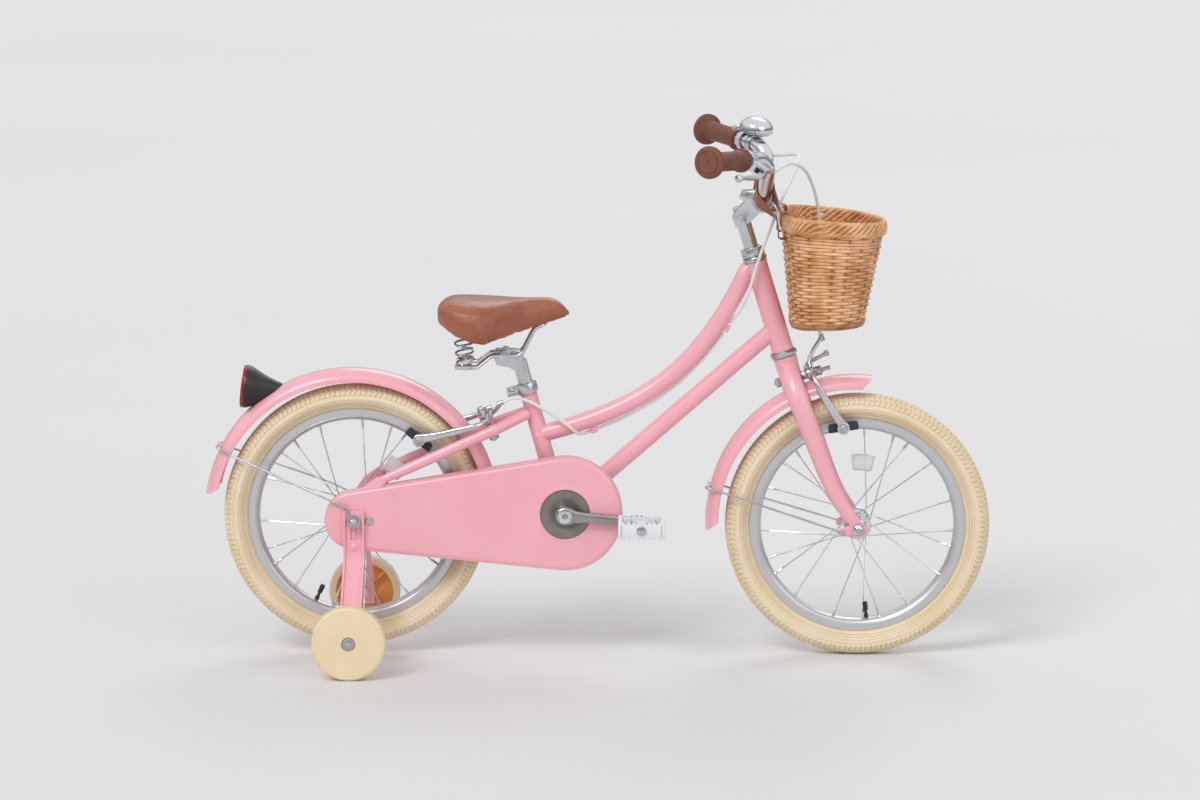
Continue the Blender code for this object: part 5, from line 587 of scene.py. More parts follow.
def tyre(prefix, axle, body, finish):
    """A cream tyre: smooth cheeks with moulded ribs, and rows of tread blocks, drawn coarser than life.

    slants says how far each ring of the tread, known by its half width, is turned to slant its blocks.
    """
    half = [(152.8, 9.4), (160.9, 9.4), (162.0, 12.2), (163.4, 13.6), (164.4, 15.6), (165.8, 16.3),
            (166.4, 15.2),
            (167.0, 16.4), (167.8, 18.4), (169.2, 19.4), (169.7, 18.3), (170.4, 19.7), (171.6, 21.2),
            (173.3, 21.9),
            (173.9, 20.8), (174.7, 21.9), (176.0, 22.6), (178.4, 22.5), (181.6, 21.3), (187.6, 17.6),
            (192.2, 11.2),
            (194.9, 4.0)]
    inner = [(190.0, 0.0), (186, 12), (176, 18.5), (164, 12.0), (153.5, 7.0)]
    profile = half + [(r, -s) for r, s in reversed(half)]
    profile += [(r, -s) for r, s in reversed(inner[1:])] + inner
    steps = 152
    piece = spun(profile, axle, Y, steps)
    pitch = math.tau / steps
    slants = {21.3: 0.0, 17.6: 0.4, 11.2: -0.06, 4.0: 0.3}
    for vertex in piece.data.vertices:
        offset = vertex.co - axle
        if math.hypot(offset.x, offset.z) < 181.0 * MM:
            continue
        wide = abs(offset.y) / MM
        slant = min(slants, key=lambda known: abs(known - wide))
        vertex.co = axle + Matrix.Rotation(slants[slant] * pitch, 3, "Y") @ offset
    edit(piece)
    bpy.ops.mesh.select_mode(type="FACE")
    bpy.ops.mesh.select_all(action="DESELECT")
    bpy.ops.object.mode_set(mode="OBJECT")
    for face in piece.data.polygons:
        offset = face.center - axle
        face.select = math.hypot(offset.x, offset.z) > 182.5 * MM and face.normal.dot(offset) > 0
    edit_mode_again(piece)
    bpy.ops.mesh.inset(thickness=0.0007, depth=0.0019, use_individual=True, use_even_offset=True)
    sound(piece)
    settle(piece, prefix + "_tyre_rubber", body, finish, "cream_tyre", prefix + "_tyre", sharp=32)


def edit_mode_again(piece):
    """Back to edit mode with the chosen faces kept."""
    bpy.context.view_layer.objects.active = piece
    piece.select_set(True)
    bpy.ops.object.mode_set(mode="EDIT")
    bpy.ops.mesh.select_mode(type="FACE")


def rim(prefix, axle, body, finish, valve_turn, black):
    """A rolled alloy rim with flat brake tracks and stepped shoulders, and the valve with its cap."""
    half = [(160.3, 9.6), (160.3, 11.6), (159.6, 12.4), (150.6, 12.4), (150.0, 11.9), (149.4, 11.9),
            (149.0, 12.2),
            (147.4, 11.2), (145.0, 8.8), (143.6, 6.0), (143.2, 0.0)]
    inner = [(151.0, 0.0), (151.6, 7.0), (152.6, 9.6)]
    profile = half + [(r, -s) for r, s in reversed(half[:-1])]
    profile += [(r, -s) for r, s in reversed(inner[1:])] + inner
    settle(spun(profile, axle, Y, 144), prefix + "_alloy_rim", body, finish, "alloy_rim", prefix + "_rim",
           sharp=28)
    stem = [(0, 146), (3.1, 146), (3.1, 138), (2.2, 137), (2.2, 132.5), (3.6, 132), (3.7, 121), (3.0, 119.2),
            (0, 119)]
    cap = spun(stem, axle, heading(valve_turn), 24)
    settle(cap, prefix + "_valve_cap", body, black, "black_plastic")


def spokes(prefix, axle, body, finish, hub_half, seat):
    """The hub with its two drilled flanges, and the crossed spokes with their square-necked nipples."""
    barrel = [(10.6, 0), (10.6, 14), (12.5, 19), (16.0, 21.2), (19.4, 21.8), (20.0, 22.6), (20.0, 25.4),
              (19.4, 26.1), (13.0, 26.6), (11.6, 28.5), (11.0, 30.5), (10.2, hub_half - 1.0), (9.4, hub_half),
              (5.1, hub_half)]
    right = [(r, -s) for r, s in reversed(barrel)]
    if seat:
        right = [(5.1, -hub_half), (seat, -hub_half), (seat, -33.0), (11.6, -29.5)] + right[5:]
    parts = [spun(right[:-1] + barrel, axle, Y, 48)]
    for side in (-1, 1):
        for index in range(10):
            odd = 1 if index % 2 else -1
            turn = math.tau * (index + (0.5 if side > 0 else 0.0)) / 10 + math.radians(4.0) * odd
            lean, sit = math.radians(62.0) * odd, 24.0 + 3.3 * odd
            head = axle + (heading(turn + lean) * 16.5 + Y * side * sit) * MM
            hole = head - Y * side * 6.27 * odd * MM
            rim_end = axle + (heading(turn) * 142.6 + Y * side * 3.0) * MM
            line = (rim_end - head).normalized()
            parts.append(swept([hole, head - line * 0.0002, head + line * 0.0016, rim_end - line * 0.010],
                               0.95, 8))
            neck = rim_end - line * 0.0125
            parts.append(swept([neck, neck + line * 0.0008, rim_end - line * 0.003, rim_end + line * 0.0006],
                               2.0, 8,
                               taper=[0.65, 0.85, 0.95, 1.25]))
            parts.append(spun([(0, -0.9), (1.6, -0.7), (1.9, 0), (1.6, 0.7), (0, 0.9)], hole, Y, 10))
    settle(joined(parts), prefix + "_hub_and_laced_spokes", body, finish, "chrome_steel",
           prefix + "_hub_and_spokes", sharp=40)


def spoke_reflector(prefix, axle, body, finish, turn, side):
    """A clear bow-shaped reflector with a raised border, set across the spokes."""
    def place(radius, degrees):
        return axle + (heading(turn + math.radians(degrees)) * radius + Y * side) * MM
    bow = [place(80.4, 9.2 * (step / 6 - 1)) for step in range(13)]
    bow += [place(103.6, 9.2 * (1 - step / 6)) for step in range(13)]
    y = axle.y + side * MM
    parts = [plate([(p.x, p.z) for p in bow], y - 0.0016, y + 0.0016, bevel=0.7)]
    for radius in (80.9, 103.1):
        parts.append(swept([place(radius, step * 1.5 - 9) for step in range(13)], 1.5, 8))
    for degrees in (-9.1, 9.1):
        parts.append(swept([place(radius, degrees) for radius in (80.9, 103.1)], 1.5, 8))
    settle(joined(parts), prefix + "_clear_reflector", body, finish, "clear_plastic",
           prefix + "_spoke_reflector")


# Mudguards

def mudguard(prefix, centre, first, last, body, finish, tabs):
    """A rolled steel blade, arched across, with a turned-in lip and ends cut back at the sides."""
    count = round((last - first) / 2.5)
    arc = 20
    rings = []
    for index in range(count + 1):
        share = index / count
        outer, inner = [], []
        for step in range(arc + 1):
            lift = math.pi * step / arc
            crown = math.sin(lift)
            cut = 3.6 * (1 - crown) ** 1.2
            angle = math.radians(first + (last - first) * share + cut * (max(0, 1 - index / 3)
                                 * (1 if first > 20 else 0.2) - max(0, 1 - (count - index) / 3)))
            ray = heading(angle)
            reach = 221.1 - 17.5 * (1 - crown)
            outer.append(centre + (ray * reach + Y * 27.0 * math.cos(lift)) * MM)
            inner.append(centre + (ray * (reach - 0.3 - 0.9 * crown) + Y * 26.1 * math.cos(lift)) * MM)
        rings.append(outer + inner[::-1])
    parts = [lofted(rings)]
    for side in (0, arc):
        parts.append(swept([ring[side] + (centre - ring[side]).normalized() * 0.0006 for ring in rings], 1.25,
                           8))
    settle(joined(parts + tabs), prefix + "_mudguard_blade", body, finish, "pink_paint", prefix + "_mudguard",
           sharp=50)


def wire_stay(prefix, centre, crossing, foot, body, finish, extra):
    """A bright wire from one axle end over the mudguard to the other, with two studs at its crown."""
    ray = (crossing - centre).normalized()
    half = foot + [centre + (ray * reach + Y * side) * MM for reach, side in ((201.5, 30.4), (224.8, 28.0))]
    path = half + [Vector((p.x, -p.y, p.z)) for p in reversed(half)]
    radii = [6.0] * (len(foot) - 1) + [14.0, 6.0]
    parts = [swept(rounded(path, radii + radii[::-1], 8), 1.7, 12)]
    for side in (-9, 9):
        parts.append(spun([(0, 3.6), (3.2, 3.0), (3.8, 0.8), (3.8, -2.4), (0, -2.4)],
                          centre + (ray * 224.6 + Y * side) * MM, ray, 16))
    settle(joined(parts + extra), prefix + "_stay_wire", body, finish, "plated_steel",
           prefix + "_mudguard_stay", sharp=40)


# Chain case

def belt(front, rear, count=72):
    """Points round the crank and the rear axle, spaced by angle seen from the crank."""
    dx, dz = CRANK[0], CRANK[1] - REAR_AXLE[1]
    slope = math.atan2(dz, dx)
    splay = math.acos((rear - front) / math.hypot(dx, dz))
    points = []
    for step in range(count + 1):
        angle = slope - splay + 2 * splay * step / count
        points.append(Vector((CRANK[0] + front * math.cos(angle), CRANK[1] + front * math.sin(angle))))
    back = []
    for step in range(count // 2 + 1):
        angle = slope + splay + (math.tau - 2 * splay) * step / (count // 2)
        back.append(Vector((rear * math.cos(angle), REAR_AXLE[1] + rear * math.sin(angle))))
    return points + straight(points[-1], back[0]) + back + straight(back[-1], points[0])


def straight(start, end, count=16):
    """Points between two ends, at even turns seen from the crank."""
    middle = Vector(CRANK)
    first, last = start - middle, end - middle
    turn = first.angle(last)
    places = []
    for step in range(1, count):
        near, far = math.sin((1 - step / count) * turn), math.sin(step / count * turn)
        share = far * first.length / (far * first.length + near * last.length)
        places.append(start.lerp(end, share))
    return places


def chain_case(finish, bright):
    """A pressed case with a soft outer edge, a rolled lip round the crank's hole and a screw."""
    def loop(inset, y):
        return [at(x, y, z) for x, z in belt(85.0 - inset, 44.0 - inset)]
    rings = [loop(inset, y) for inset, y in ((0.0, -36.3), (0.0, -55.8), (0.8, -58.8), (2.6, -61.0),
                                             (5.4, -62.1),
                                             (9.0, -62.3), (10.4, -62.3))]
    away = [Vector((x - CRANK[0], 0, z - CRANK[1])).normalized() for x, z in belt(85.0, 44.0)]
    for radius, y in ((44.4, -62.3), (43.0, -62.3), (41.2, -62.6), (39.6, -63.5), (38.0, -63.3),
                      (36.8, -62.2),
                      (36.5, -60.8)):
        rings.append([CRANK_MIDDLE + (ray * radius + Y * y) * MM for ray in away])
    rings += [loop(1.5, -60.8), loop(1.5, -36.3)]
    piece = lofted(rings, wrap=True, caps=False)
    settle(piece, "chain_case_shell", "frame", finish, "pink_paint", "chain_case", sharp=50)
    boss = spun([(0, -62.0), (6.5, -62.0), (6.5, -62.9), (5.6, -64.2), (3.4, -64.8), (2.8, -63.8),
                 (0, -63.8)],
                at(23, 0, REAR_AXLE[1]), Y, 24)
    settle(boss, "chain_case_screw", "frame", bright, "plated_steel")


def crank_way(side):
    """The way the crank on a side points, out from its axle."""
    return heading(CRANK_TURN) * -side


def crank_sets(forged, chrome, grey):
    """Forged cranks with rounded arms, a domed axle cap, and the grey disc behind the right one."""
    sections = ((-13.6, 5.0, 65, 77), (-12.0, 9.0, 65, 78), (-6.0, 13.2, 65, 79), (0.0, 14.4, 65, 79),
                (7.0, 13.2, 65, 79), (15.0, 9.6, 65.5, 78), (28.0, 7.6, 66, 77), (60.0, 7.0, 66, 76.6),
                (92.0, 7.4, 66, 76.8), (104.0, 9.6, 65.4, 77), (113.0, 10.6, 65, 77), (120.0, 9.0, 65.2, 77),
                (124.0, 4.6, 66, 76))
    for name, side in SIDES:
        ahead = crank_way(side)
        up = Vector((-ahead.z, 0, ahead.x))
        rings = []
        for u, half, near, far in sections:
            middle = CRANK_MIDDLE + (ahead * u + Y * side * (near + far) / 2) * MM
            rings.append([middle + (up * half * c + Y * side * (far - near) / 2 * s) * MM
                          for c, s in oval(20, 0.6)])
        parts = [lofted(rings)]
        cap = spun(outward(side, (0, 75), (11.0, 75), (11.0, 79.0), (10.4, 80.0), (8.6, 80.2), (7.6, 79.4),
                           (4.6, 79.6), (3.6, 78.6), (0, 78.6)), CRANK_MIDDLE, Y, 40)
        settle(cap, "crank_cap_" + name, "cranks", chrome, "chrome_steel")
        tip = CRANK_MIDDLE + ahead * CRANK_LENGTH * MM
        parts.append(swept([tip + Y * side * 70 * MM, tip + Y * side * 140 * MM], 4.4, 16))
        if side < 0:
            parts.append(spun([(0, -48), (15.0, -48), (15.0, -66), (0, -66)], CRANK_MIDDLE, Y, 40))
            settle(joined(parts), "crank_arm_right", "cranks", forged, "chrome_steel")
        else:
            parts.append(spun([(0, -78), (8, -78), (8, 30), (13, 35), (13, 66), (0, 66)], CRANK_MIDDLE, Y,
                              32))
            settle(joined(parts), "crank_arm_left", "cranks", forged, "chrome_steel", "crank_left")
    disc = spun([(0, -61.0), (35.9, -61.0), (36.2, -61.6), (35.8, -62.7), (22.0, -62.9), (21.4, -62.5),
                 (0, -62.5)],
                CRANK_MIDDLE, Y, 72)
    settle(disc, "crank_disc", "cranks", grey, "plated_steel")


def toothed(low, high, count, valley, tip):
    """The outline of a tread plate, with teeth along its top and bottom edges."""
    step = (high - low) / (count - 1)
    teeth = []
    for index in range(count):
        middle, level = low + step * index, tip if index % 2 else valley
        teeth += [(max(low, middle - 0.3 * step), level), (min(high, middle + 0.3 * step), level)]
    return teeth + [(place, -level) for place, level in reversed(teeth)]


def pedals(frosted, steel):
    """Frosted moulded pedals: toothed plates on all four sides, bars between them and a round middle boss."""
    near, far = 80.8, 146.0
    for name, side in SIDES:
        tip = CRANK_MIDDLE + crank_way(side) * CRANK_LENGTH * MM
        parts = []
        for sign in (-1, 1):
            outline = [(side * y * MM, z * MM) for y, z in toothed(near, far, 12, 9.6, 13.3)]
            parts.append(plate(outline, sign * 0.0345, sign * 0.0285, "YZ", 0.8))
        for start in (near, far - 5):
            outline = [(x * MM, z * MM) for x, z in toothed(-30.5, 30.5, 17, 9.6, 13.2)]
            parts.append(plate(outline, side * start * MM, side * (start + 5) * MM, "XZ", 0.7))
        low, high = sorted((side * (near + 2) * MM, side * (far - 2) * MM))
        for middle, half in ((-18.0, 1.8), (0.0, 6.6), (18.0, 1.8)):
            parts.append(box(((middle - half) * MM, low, -0.0092), ((middle + half) * MM, high, 0.0092), 1.6,
                             3))
        for part in parts:
            part.data.transform(Matrix.Translation(tip))
        parts.append(spun([(0, -11.6), (10.6, -11.6), (11.6, -10.6), (11.6, 10.6), (10.6, 11.6), (0, 11.6)],
                          tip + Y * side * (near + far) / 2 * MM, Z, 40))
        end = tip + Y * side * far * MM
        parts.append(spun(outward(side, (0, -1), (9.6, -1), (9.6, 0.4), (8.9, 1.2), (8.0, 1.2), (7.6, 0.2),
                                  (0, 0.2)), end, Y, 32))
        settle(joined(parts), "pedal_platform_" + name, "pedal_" + name, frosted, "clear_plastic",
               "pedal_" + name)
        nut = spun(outward(side, (0, 0.3), (7.0, 0.3), (7.0, 0.8), (6.4, 1.1), (0, 1.1)), end, Y, 32)
        settle(nut, "pedal_axle_cap_" + name, "pedal_" + name, steel, "plated_steel")


# Stabilisers

def stabiliser_wheels(cream, orange, steel):
    """Moulded wheels: a flat outer face with a faint ring, and a hollow, ribbed inner side."""
    for name, side in SIDES:
        centre = at(0, 0, 54.5)
        face, back = 216.8, 189.2
        cover = [(5.4, face - 6), (9.0, face - 6), (10.0, face - 5.2), (10.2, face - 0.9), (11.2, face),
                 (47.8, face), (48.4, face - 0.5), (49.2, face - 0.5), (49.8, face), (51.6, face - 0.3),
                 (53.4, face - 1.6), (54.3, face - 4.0), (54.5, face - 7.0), (54.5, back + 7.0),
                 (54.3, back + 4.0), (53.4, back + 1.6), (51.4, back), (44.8, back), (44.0, back + 0.9),
                 (44.0, face - 9), (5.4, face - 9)]
        shell = spun(outward(side, *cover), centre, Y, 96)
        settle(shell, "stabiliser_cover_" + name, "stabiliser_wheel_" + name, cream, "cream_plastic",
               "stabiliser_wheel_" + name)
        core = [(5.4, face - 9.2), (43.9, face - 9.2), (43.9, back + 3.0), (42.4, back + 3.0),
                (42.0, face - 11),
                (11.6, face - 11), (11.0, back + 0.6), (10.2, back), (5.4, back)]
        parts = [spun(outward(side, *core), centre, Y, 64)]
        for quarter in range(4):
            low, high = sorted((side * (back + 4) * MM, side * (face - 10) * MM))
            rib = box((0.0104, low, -0.0012), (0.0426, high, 0.0012), 0.5)
            rib.data.transform(Matrix.Translation(centre)
                               @ Matrix.Rotation(math.pi * (quarter / 2 + 0.25), 4, "Y"))
            parts.append(rib)
        settle(joined(parts), "stabiliser_core_" + name, "stabiliser_wheel_" + name, orange, "cream_plastic")
        washer = spun(outward(side, (0, 211.0), (9.0, 211.0), (9.2, 212.0), (8.8, 213.2), (0, 213.2)), centre,
                      Y, 40)
        head = spun(outward(side, (0, 213.0), (6.0, 213.0), (6.0, 215.6), (5.2, 216.4), (0, 216.4)), centre,
                    Y, 6)
        settle(joined([washer, head]), "stabiliser_bolt_" + name, "frame", steel, "plated_steel")


# Reflector at the back

def tail_reflector(black, red):
    """A black cone on the mudguard, with a domed red lens snapped into its rim."""
    axis = heading(math.radians(-7))
    lens_centre = at(-165.0, 0, 402.0)
    housing = [(29.0, 1.3), (31.6, 1.3), (32.0, 2.4), (31.6, 5.6), (29.6, 10.6), (25.6, 18.6), (21.2, 27.6),
               (17.6, 36.0), (15.0, 43.6), (13.0, 50.0), (11.8, 54.0), (10.2, 56.0), (0, 56.0), (0, 3.0)]
    settle(spun(housing, lens_centre, axis, 64), "tail_reflector_cone", "frame", black, "black_plastic",
           "rear_reflector_housing")
    lens = [(0, -4.2), (14.0, -4.2), (25.0, -4.0), (30.0, -3.6), (31.4, -2.8), (31.8, -1.6), (31.8, 1.2),
            (0, 1.2)]
    settle(spun(lens, lens_centre, axis, 64), "tail_reflector_lens", "frame", red, "red_lens",
           "rear_reflector_lens")


# Saddle

SADDLE_TAIL, SADDLE_LENGTH = 123.0, 198.0
SPRING_X, SPRING_Y, SPRING_FOOT = 163, 36, 441.5
SADDLE_WIDTHS = [(0.0, 0.45), (0.05, 0.68), (0.12, 0.86), (0.22, 0.97), (0.34, 1.0), (0.45, 0.88),
                 (0.55, 0.66),
                 (0.66, 0.46), (0.78, 0.33), (0.9, 0.245), (0.97, 0.16), (1.0, 0.07)]
SADDLE_SIDE = [(0.90, 0.0), (0.985, 0.22), (1.0, 0.45), (0.95, 0.68), (0.80, 0.86), (0.50, 0.965), (0.0, 1.0)]


def saddle_ring(share):
    """The pad's outline across, at a share of the way from its tail to its nose."""
    half = 76.0 * blend_values(SADDLE_WIDTHS, share)
    nose = max(0.0, share - 0.84) / 0.16
    crown = 535.0 + 1.5 * math.cos(5 * share) - 22 * nose * nose - 13 * (max(0.0, 0.12 - share) / 0.12) ** 2
    skirt = (500.0 - 27.0 * math.sin(math.pi / 2 * share / 0.36) if share < 0.36
             else 473.0 + 37.0 * ((share - 0.36) / 0.64) ** 0.9)
    lining = max(skirt + 2.0, min(492.0, crown - 9.0))
    wall = min(6.0, half * 0.35)
    outer = [(half * w, skirt + (crown - skirt) * h) for w, h in SADDLE_SIDE]
    inner = [(half * 0.9 - wall, skirt + 0.8), (half * 0.9 - wall - 1.0, lining), (0.0, lining)]
    x = SADDLE_TAIL + SADDLE_LENGTH * share
    ring = [at(x, -y, z) for y, z in outer] + [at(x, y, z) for y, z in reversed(outer[:-1])]
    return ring + [at(x, y, z) for y, z in inner] + [at(x, -y, z) for y, z in reversed(inner[:-1])]


def padded_saddle(leather, thread):
    """The pad swells a little under cloth pressure, then gets its seam of two rows of stitches."""
    pad = lofted([saddle_ring(share / 36) for share in range(37)])
    pad.name = "saddle_pad"
    nothing_selected()
    pad.select_set(True)
    bpy.context.view_layer.objects.active = pad
    pad.data.remesh_voxel_size = 0.0035
    bpy.ops.object.voxel_remesh()
    ease = pad.modifiers.new("ease", "SMOOTH")
    ease.factor, ease.iterations = 0.5, 5
    apply(pad, ease)
    swell(pad, 0.0022)
    finer = pad.modifiers.new("finer", "SUBSURF")
    finer.levels = finer.render_levels = 1
    apply(pad, finer)
    settle(pad, "saddle_pad", "saddle", leather, "tan_leather", "saddle", sharp=80)
    seam = []
    route = [(0.07, 529), (0.12, 530), (0.18, 527.5), (0.24, 520.5), (0.29, 511), (0.33, 499), (0.355, 487),
             (0.37, 478)]
    for shift in (0.0, 3.2):
        line = smooth([at(SADDLE_TAIL + SADDLE_LENGTH * share + shift, 0, z + shift * 0.35) for share,
                       z in route], 14)
        for side in (-1, 1):
            found = [pad.ray_cast(point + Y * side * 0.12, -Y * side, distance=0.12) for point in line]
            found = [hit for hit in found if hit[0]]
            for a, b in zip(found[::2], found[1::2]):
                seam.append(swept([a[1] - a[2] * 0.0003, a[1] + a[2] * 0.0003, b[1] + b[2] * 0.0003,
                                   b[1] - b[2] * 0.0003], 0.4, 6))
    settle(joined(seam), "saddle_stitches", "saddle", thread, "tan_leather")


def swell(pad, most):
    """Blows the pad up as sewn cloth for twenty frames, and holds each point within a distance."""
    before = [vertex.co.copy() for vertex in pad.data.vertices]
    cloth = pad.modifiers.new("cloth", "CLOTH")
    cloth.settings.quality = 6
    cloth.settings.mass = 0.3
    cloth.settings.use_pressure = True
    cloth.settings.uniform_pressure_force = 4.0
    cloth.settings.effector_weights.gravity = 0.0
    cloth.settings.tension_stiffness = cloth.settings.compression_stiffness = 25.0
    cloth.collision_settings.use_self_collision = False
    cloth.point_cache.frame_start, cloth.point_cache.frame_end = 1, 20
    scene = bpy.context.scene
    for number in range(1, 21):
        scene.frame_set(number)
    shape = pad.evaluated_get(bpy.context.evaluated_depsgraph_get())
    after = [vertex.co.copy() for vertex in shape.data.vertices]
    pad.modifiers.remove(cloth)
    scene.frame_set(1)
    for vertex, start, end in zip(pad.data.vertices, before, after):
        move = end - start
        vertex.co = start + move * min(1.0, most / max(move.length, 1e-9))


def saddle_undercarriage(chrome):
    """The bent wire rails, with a cup under each coil spring."""
    half = [(SPRING_X, SPRING_Y, 435.5), (182, 32, 435.5), (203, 21, 451.5), (247, 21, 451.5),
            (268, 13, 492.4),
            (283, 12, 497.9)]
    path = [at(*p) for p in half] + [at(x, -y, z) for x, y, z in reversed(half)]
    parts = [swept(rounded(path, [10, 12, 14, 12, 9, 9, 12, 14, 12, 10], 6), 3.4, 16)]
    for side in (-1, 1):
        below = at(SPRING_X, side * SPRING_Y, 0)
        parts.append(spun([(0, 434.2), (12.6, 434.2), (13.6, 435.0), (14.0, 436.2), (14.0, 439.4),
                           (12.4, 439.4),
                           (12.0, 437.6), (0, 437.6)], below, Z, 40))
        parts.append(spun([(0, 433.2), (5.2, 433.2), (6.0, 434.0), (6.0, 434.4), (0, 434.4)], below, Z, 6))
    settle(joined(parts), "saddle_rail_wire", "seatpost", chrome, "chrome_steel", "saddle_rails", sharp=40)


def coil_springs(spring):
    """Four turns of wire on each side that widen upwards."""
    for name, side in SIDES:
        foot = at(SPRING_X, side * SPRING_Y, SPRING_FOOT)
        coil = []
        for step in range(129):
            share = step / 128
            lift = min(1.0, max(0.0, (share - 0.1) / 0.8))
            reach, angle = 10.0 + 5.5 * share, math.tau * 4 * share
            coil.append(foot + Vector((reach * math.cos(angle), side * reach * math.sin(angle),
                                       46.5 * lift)) * MM)
        piece = settle(swept(coil, 1.7, 10), "saddle_coil_" + name, "seatpost", spring, "chrome_steel",
                       "saddle_spring_" + name, sharp=60)
        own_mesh(piece)


# Basket

def basket_outline(height, inset, steps=96):
    """The basket's plan at a height: a bowed front and a squarer back, towards the handlebar."""
    share = (height - 496.0) / 172.0
    back, front = 645 - 16 * share + inset, 755 + 33 * share - inset
    half = 70 + 28 * share - inset
    corner = back + (front - back) * 0.42
    places = []
    for step in range(steps):
        c, s = math.cos(math.tau * step / steps), math.sin(math.tau * step / steps)
        if c >= 0:
            x, y = corner + (front - corner) * c, half * s
        else:
            x, y = corner - (corner - back) * abs(c) ** 0.45, half * math.copysign(abs(s) ** 0.8, s)
        places.append((x, y))
    return places


def basket_point(place, height):
    """A place of the plan at a height; higher rings fall a little towards the front."""
    fall = 0.09 * max(0.0, height - 508.0) / 160.0
    return at(place[0], place[1], height - fall * (place[0] - 629.0))


def beside(ring, index, amount):
    """The place at an index of a ring, moved out across it by an amount."""
    ahead = Vector(ring[(index + 1) % len(ring)]) - Vector(ring[index - 1])
    push = Vector((ahead.y, -ahead.x)).normalized() * amount
    return ring[index][0] + push.x, ring[index][1] + push.y


def woven_basket(rods, stakes, rim_rods):
    """Rods woven in front of and behind the stakes, with a roped rim, a base band and a woven floor.

    Two rows leave gaps at the back for the straps.
    """
    count = 22
    steps = count * 6
    rows, gapped = 27, (23, 24)
    weave = []
    for row in [row for row in range(rows) if row not in gapped] + list(gapped):
        height = 507.0 + 136.0 * row / (rows - 1)
        out = basket_outline(height, 3.4, steps)
        if row not in gapped:
            path = [basket_point(beside(out, step, 1.7 * math.cos(math.pi * (step / 6 + row))), height)
                    for step in range(steps)]
            weave.append(swept(path, 2.5, 8, closed=True))
            continue
        gap = [36.5 < abs(y) < 57.5 and x < 655 for x, y in out]
        start = max(index for index in range(steps) if gap[index])
        order = [(start + step) % steps for step in range(steps)]
        for is_gap, run in itertools.groupby(order, key=lambda index: gap[index]):
            path = [basket_point(out[index], height) for index in run]
            if not is_gap and len(path) > 2:
                weave.append(swept(path, 2.5, 8))
    settle(joined(weave), "basket_weave", "steering", rods, "honey_wicker", "basket", sharp=60)
    parts = []
    for index in range(count):
        x, y = basket_outline(630, 3.4, count)[index]
        top = 626.0 if abs(y) > 38 and x < 640 else 656.0
        line = [basket_point(basket_outline(height, 3.4, count)[index], height)
                for height in (499, 540, 580, 610, top)]
        parts.append(swept(smooth(line, 3), 1.9, 8))
    for height, inset in ((498.4, 2.6), (502.0, 1.4), (505.2, 1.6)):
        parts.append(swept([basket_point(p, height) for p in basket_outline(height, inset)], 2.3, 8,
                           closed=True))
    settle(joined(parts), "basket_stakes", "steering", stakes, "honey_wicker", sharp=60)
    floor = []
    for rod in range(28):
        x = 650.0 + rod * 3.7
        half = max((abs(y) for px, y in basket_outline(502, 5.0, 360) if abs(px - x) < 2.2), default=0)
        spans = [(-half, 17.4), (32.4, half)] if abs(x - 688.6) < 7.3 else [(-half, half)]
        for low, high in spans:
            if high - low > 8:
                floor.append(swept([at(x, low + (high - low) * k / 20,
                                       501.6 + 0.9 * math.cos(math.pi * (k + rod)))
                                    for k in range(21)], 1.95, 6))
    for y in (-52, -34, -17, 0, 44, 58):
        floor.append(swept([at(656, y, 501.6), at(744 - abs(y) * 0.45, y, 501.6)], 2.0, 8))
    settle(joined(floor), "basket_floor", "steering", rods, "honey_wicker", sharp=60)
    rim = []
    turns, strands, steps, height = 9, 6, 264, 655.5
    path = basket_outline(height, 1.7, steps)
    for strand in range(strands):
        line = []
        for step in range(steps):
            phase = math.tau * (turns * step / steps + strand / strands)
            line.append(basket_point(beside(path, step, 1.6 * math.cos(phase)),
                                     height + 9.4 * math.sin(phase)))
        rim.append(swept(line, 2.9, 8, closed=True))
    settle(joined(rim), "basket_rim", "steering", rim_rods, "honey_wicker", sharp=60)


# Leather straps of the basket

def basket_straps(leather):
    """A closed strap on each side, round the bar and down through the gap in the basket's weave."""
    def wall(height, inset, pick):
        return pick(x for x, y in basket_outline(height, inset, 360) if 39 < y < 55 and x < 700)
    bar, slope = bar_place(47.0), (bar_place(55.0) - bar_place(39.0)) / 16
    reach = 13.2
    tall = reach * math.hypot(1, slope.z)
    points = []
    for step in range(25):
        angle = math.radians(-15 + 248 * step / 24)
        points.append((bar.x + reach * math.cos(angle), bar.z + tall * math.sin(angle), 1.0))
    back_top, back_low, inside_top = wall(668, -2.5, min), wall(642, 6.5, max), wall(668, 6.0, max)
    points += [(back_top - 4.6, 661, 0.25), (back_top - 1.6, 648, 0), (back_top - 1.6, 633, 0),
               (back_top + 1.0, 630.4, 0), (back_low, 629.8, 0), (back_low + 1.6, 633, 0),
               (back_low + 1.6, 643, 0), (inside_top + 1.6, 664, 0), (inside_top + 0.2, 668.6, 0),
               (inside_top - 2, 669.8, 0), (back_top + 1, 670.6, 0)]
    for name, side in SIDES:
        rings = []
        for index, (x, z, follow) in enumerate(points):
            following = Vector(points[(index + 1) % len(points)][:2])
            line = (following - Vector(points[index - 1][:2])).normalized()
            rings.append([at(x - line.y * depth + slope.x * edge * follow, side * (47.0 + edge),
                             z + line.x * depth + slope.z * edge * follow)
                          for depth, edge in ((0.7, -8.0), (1.0, -7.5), (1.0, 7.5), (0.7, 8.0), (-0.7, 8.0),
                                              (-1.0, 7.5), (-1.0, -7.5), (-0.7, -8.0))])
        strap = lofted(rings, wrap=True, caps=False)
        settle(strap, "basket_strap_leather_" + name, "steering", leather, "tan_leather",
               "basket_strap_" + name,
               sharp=50)


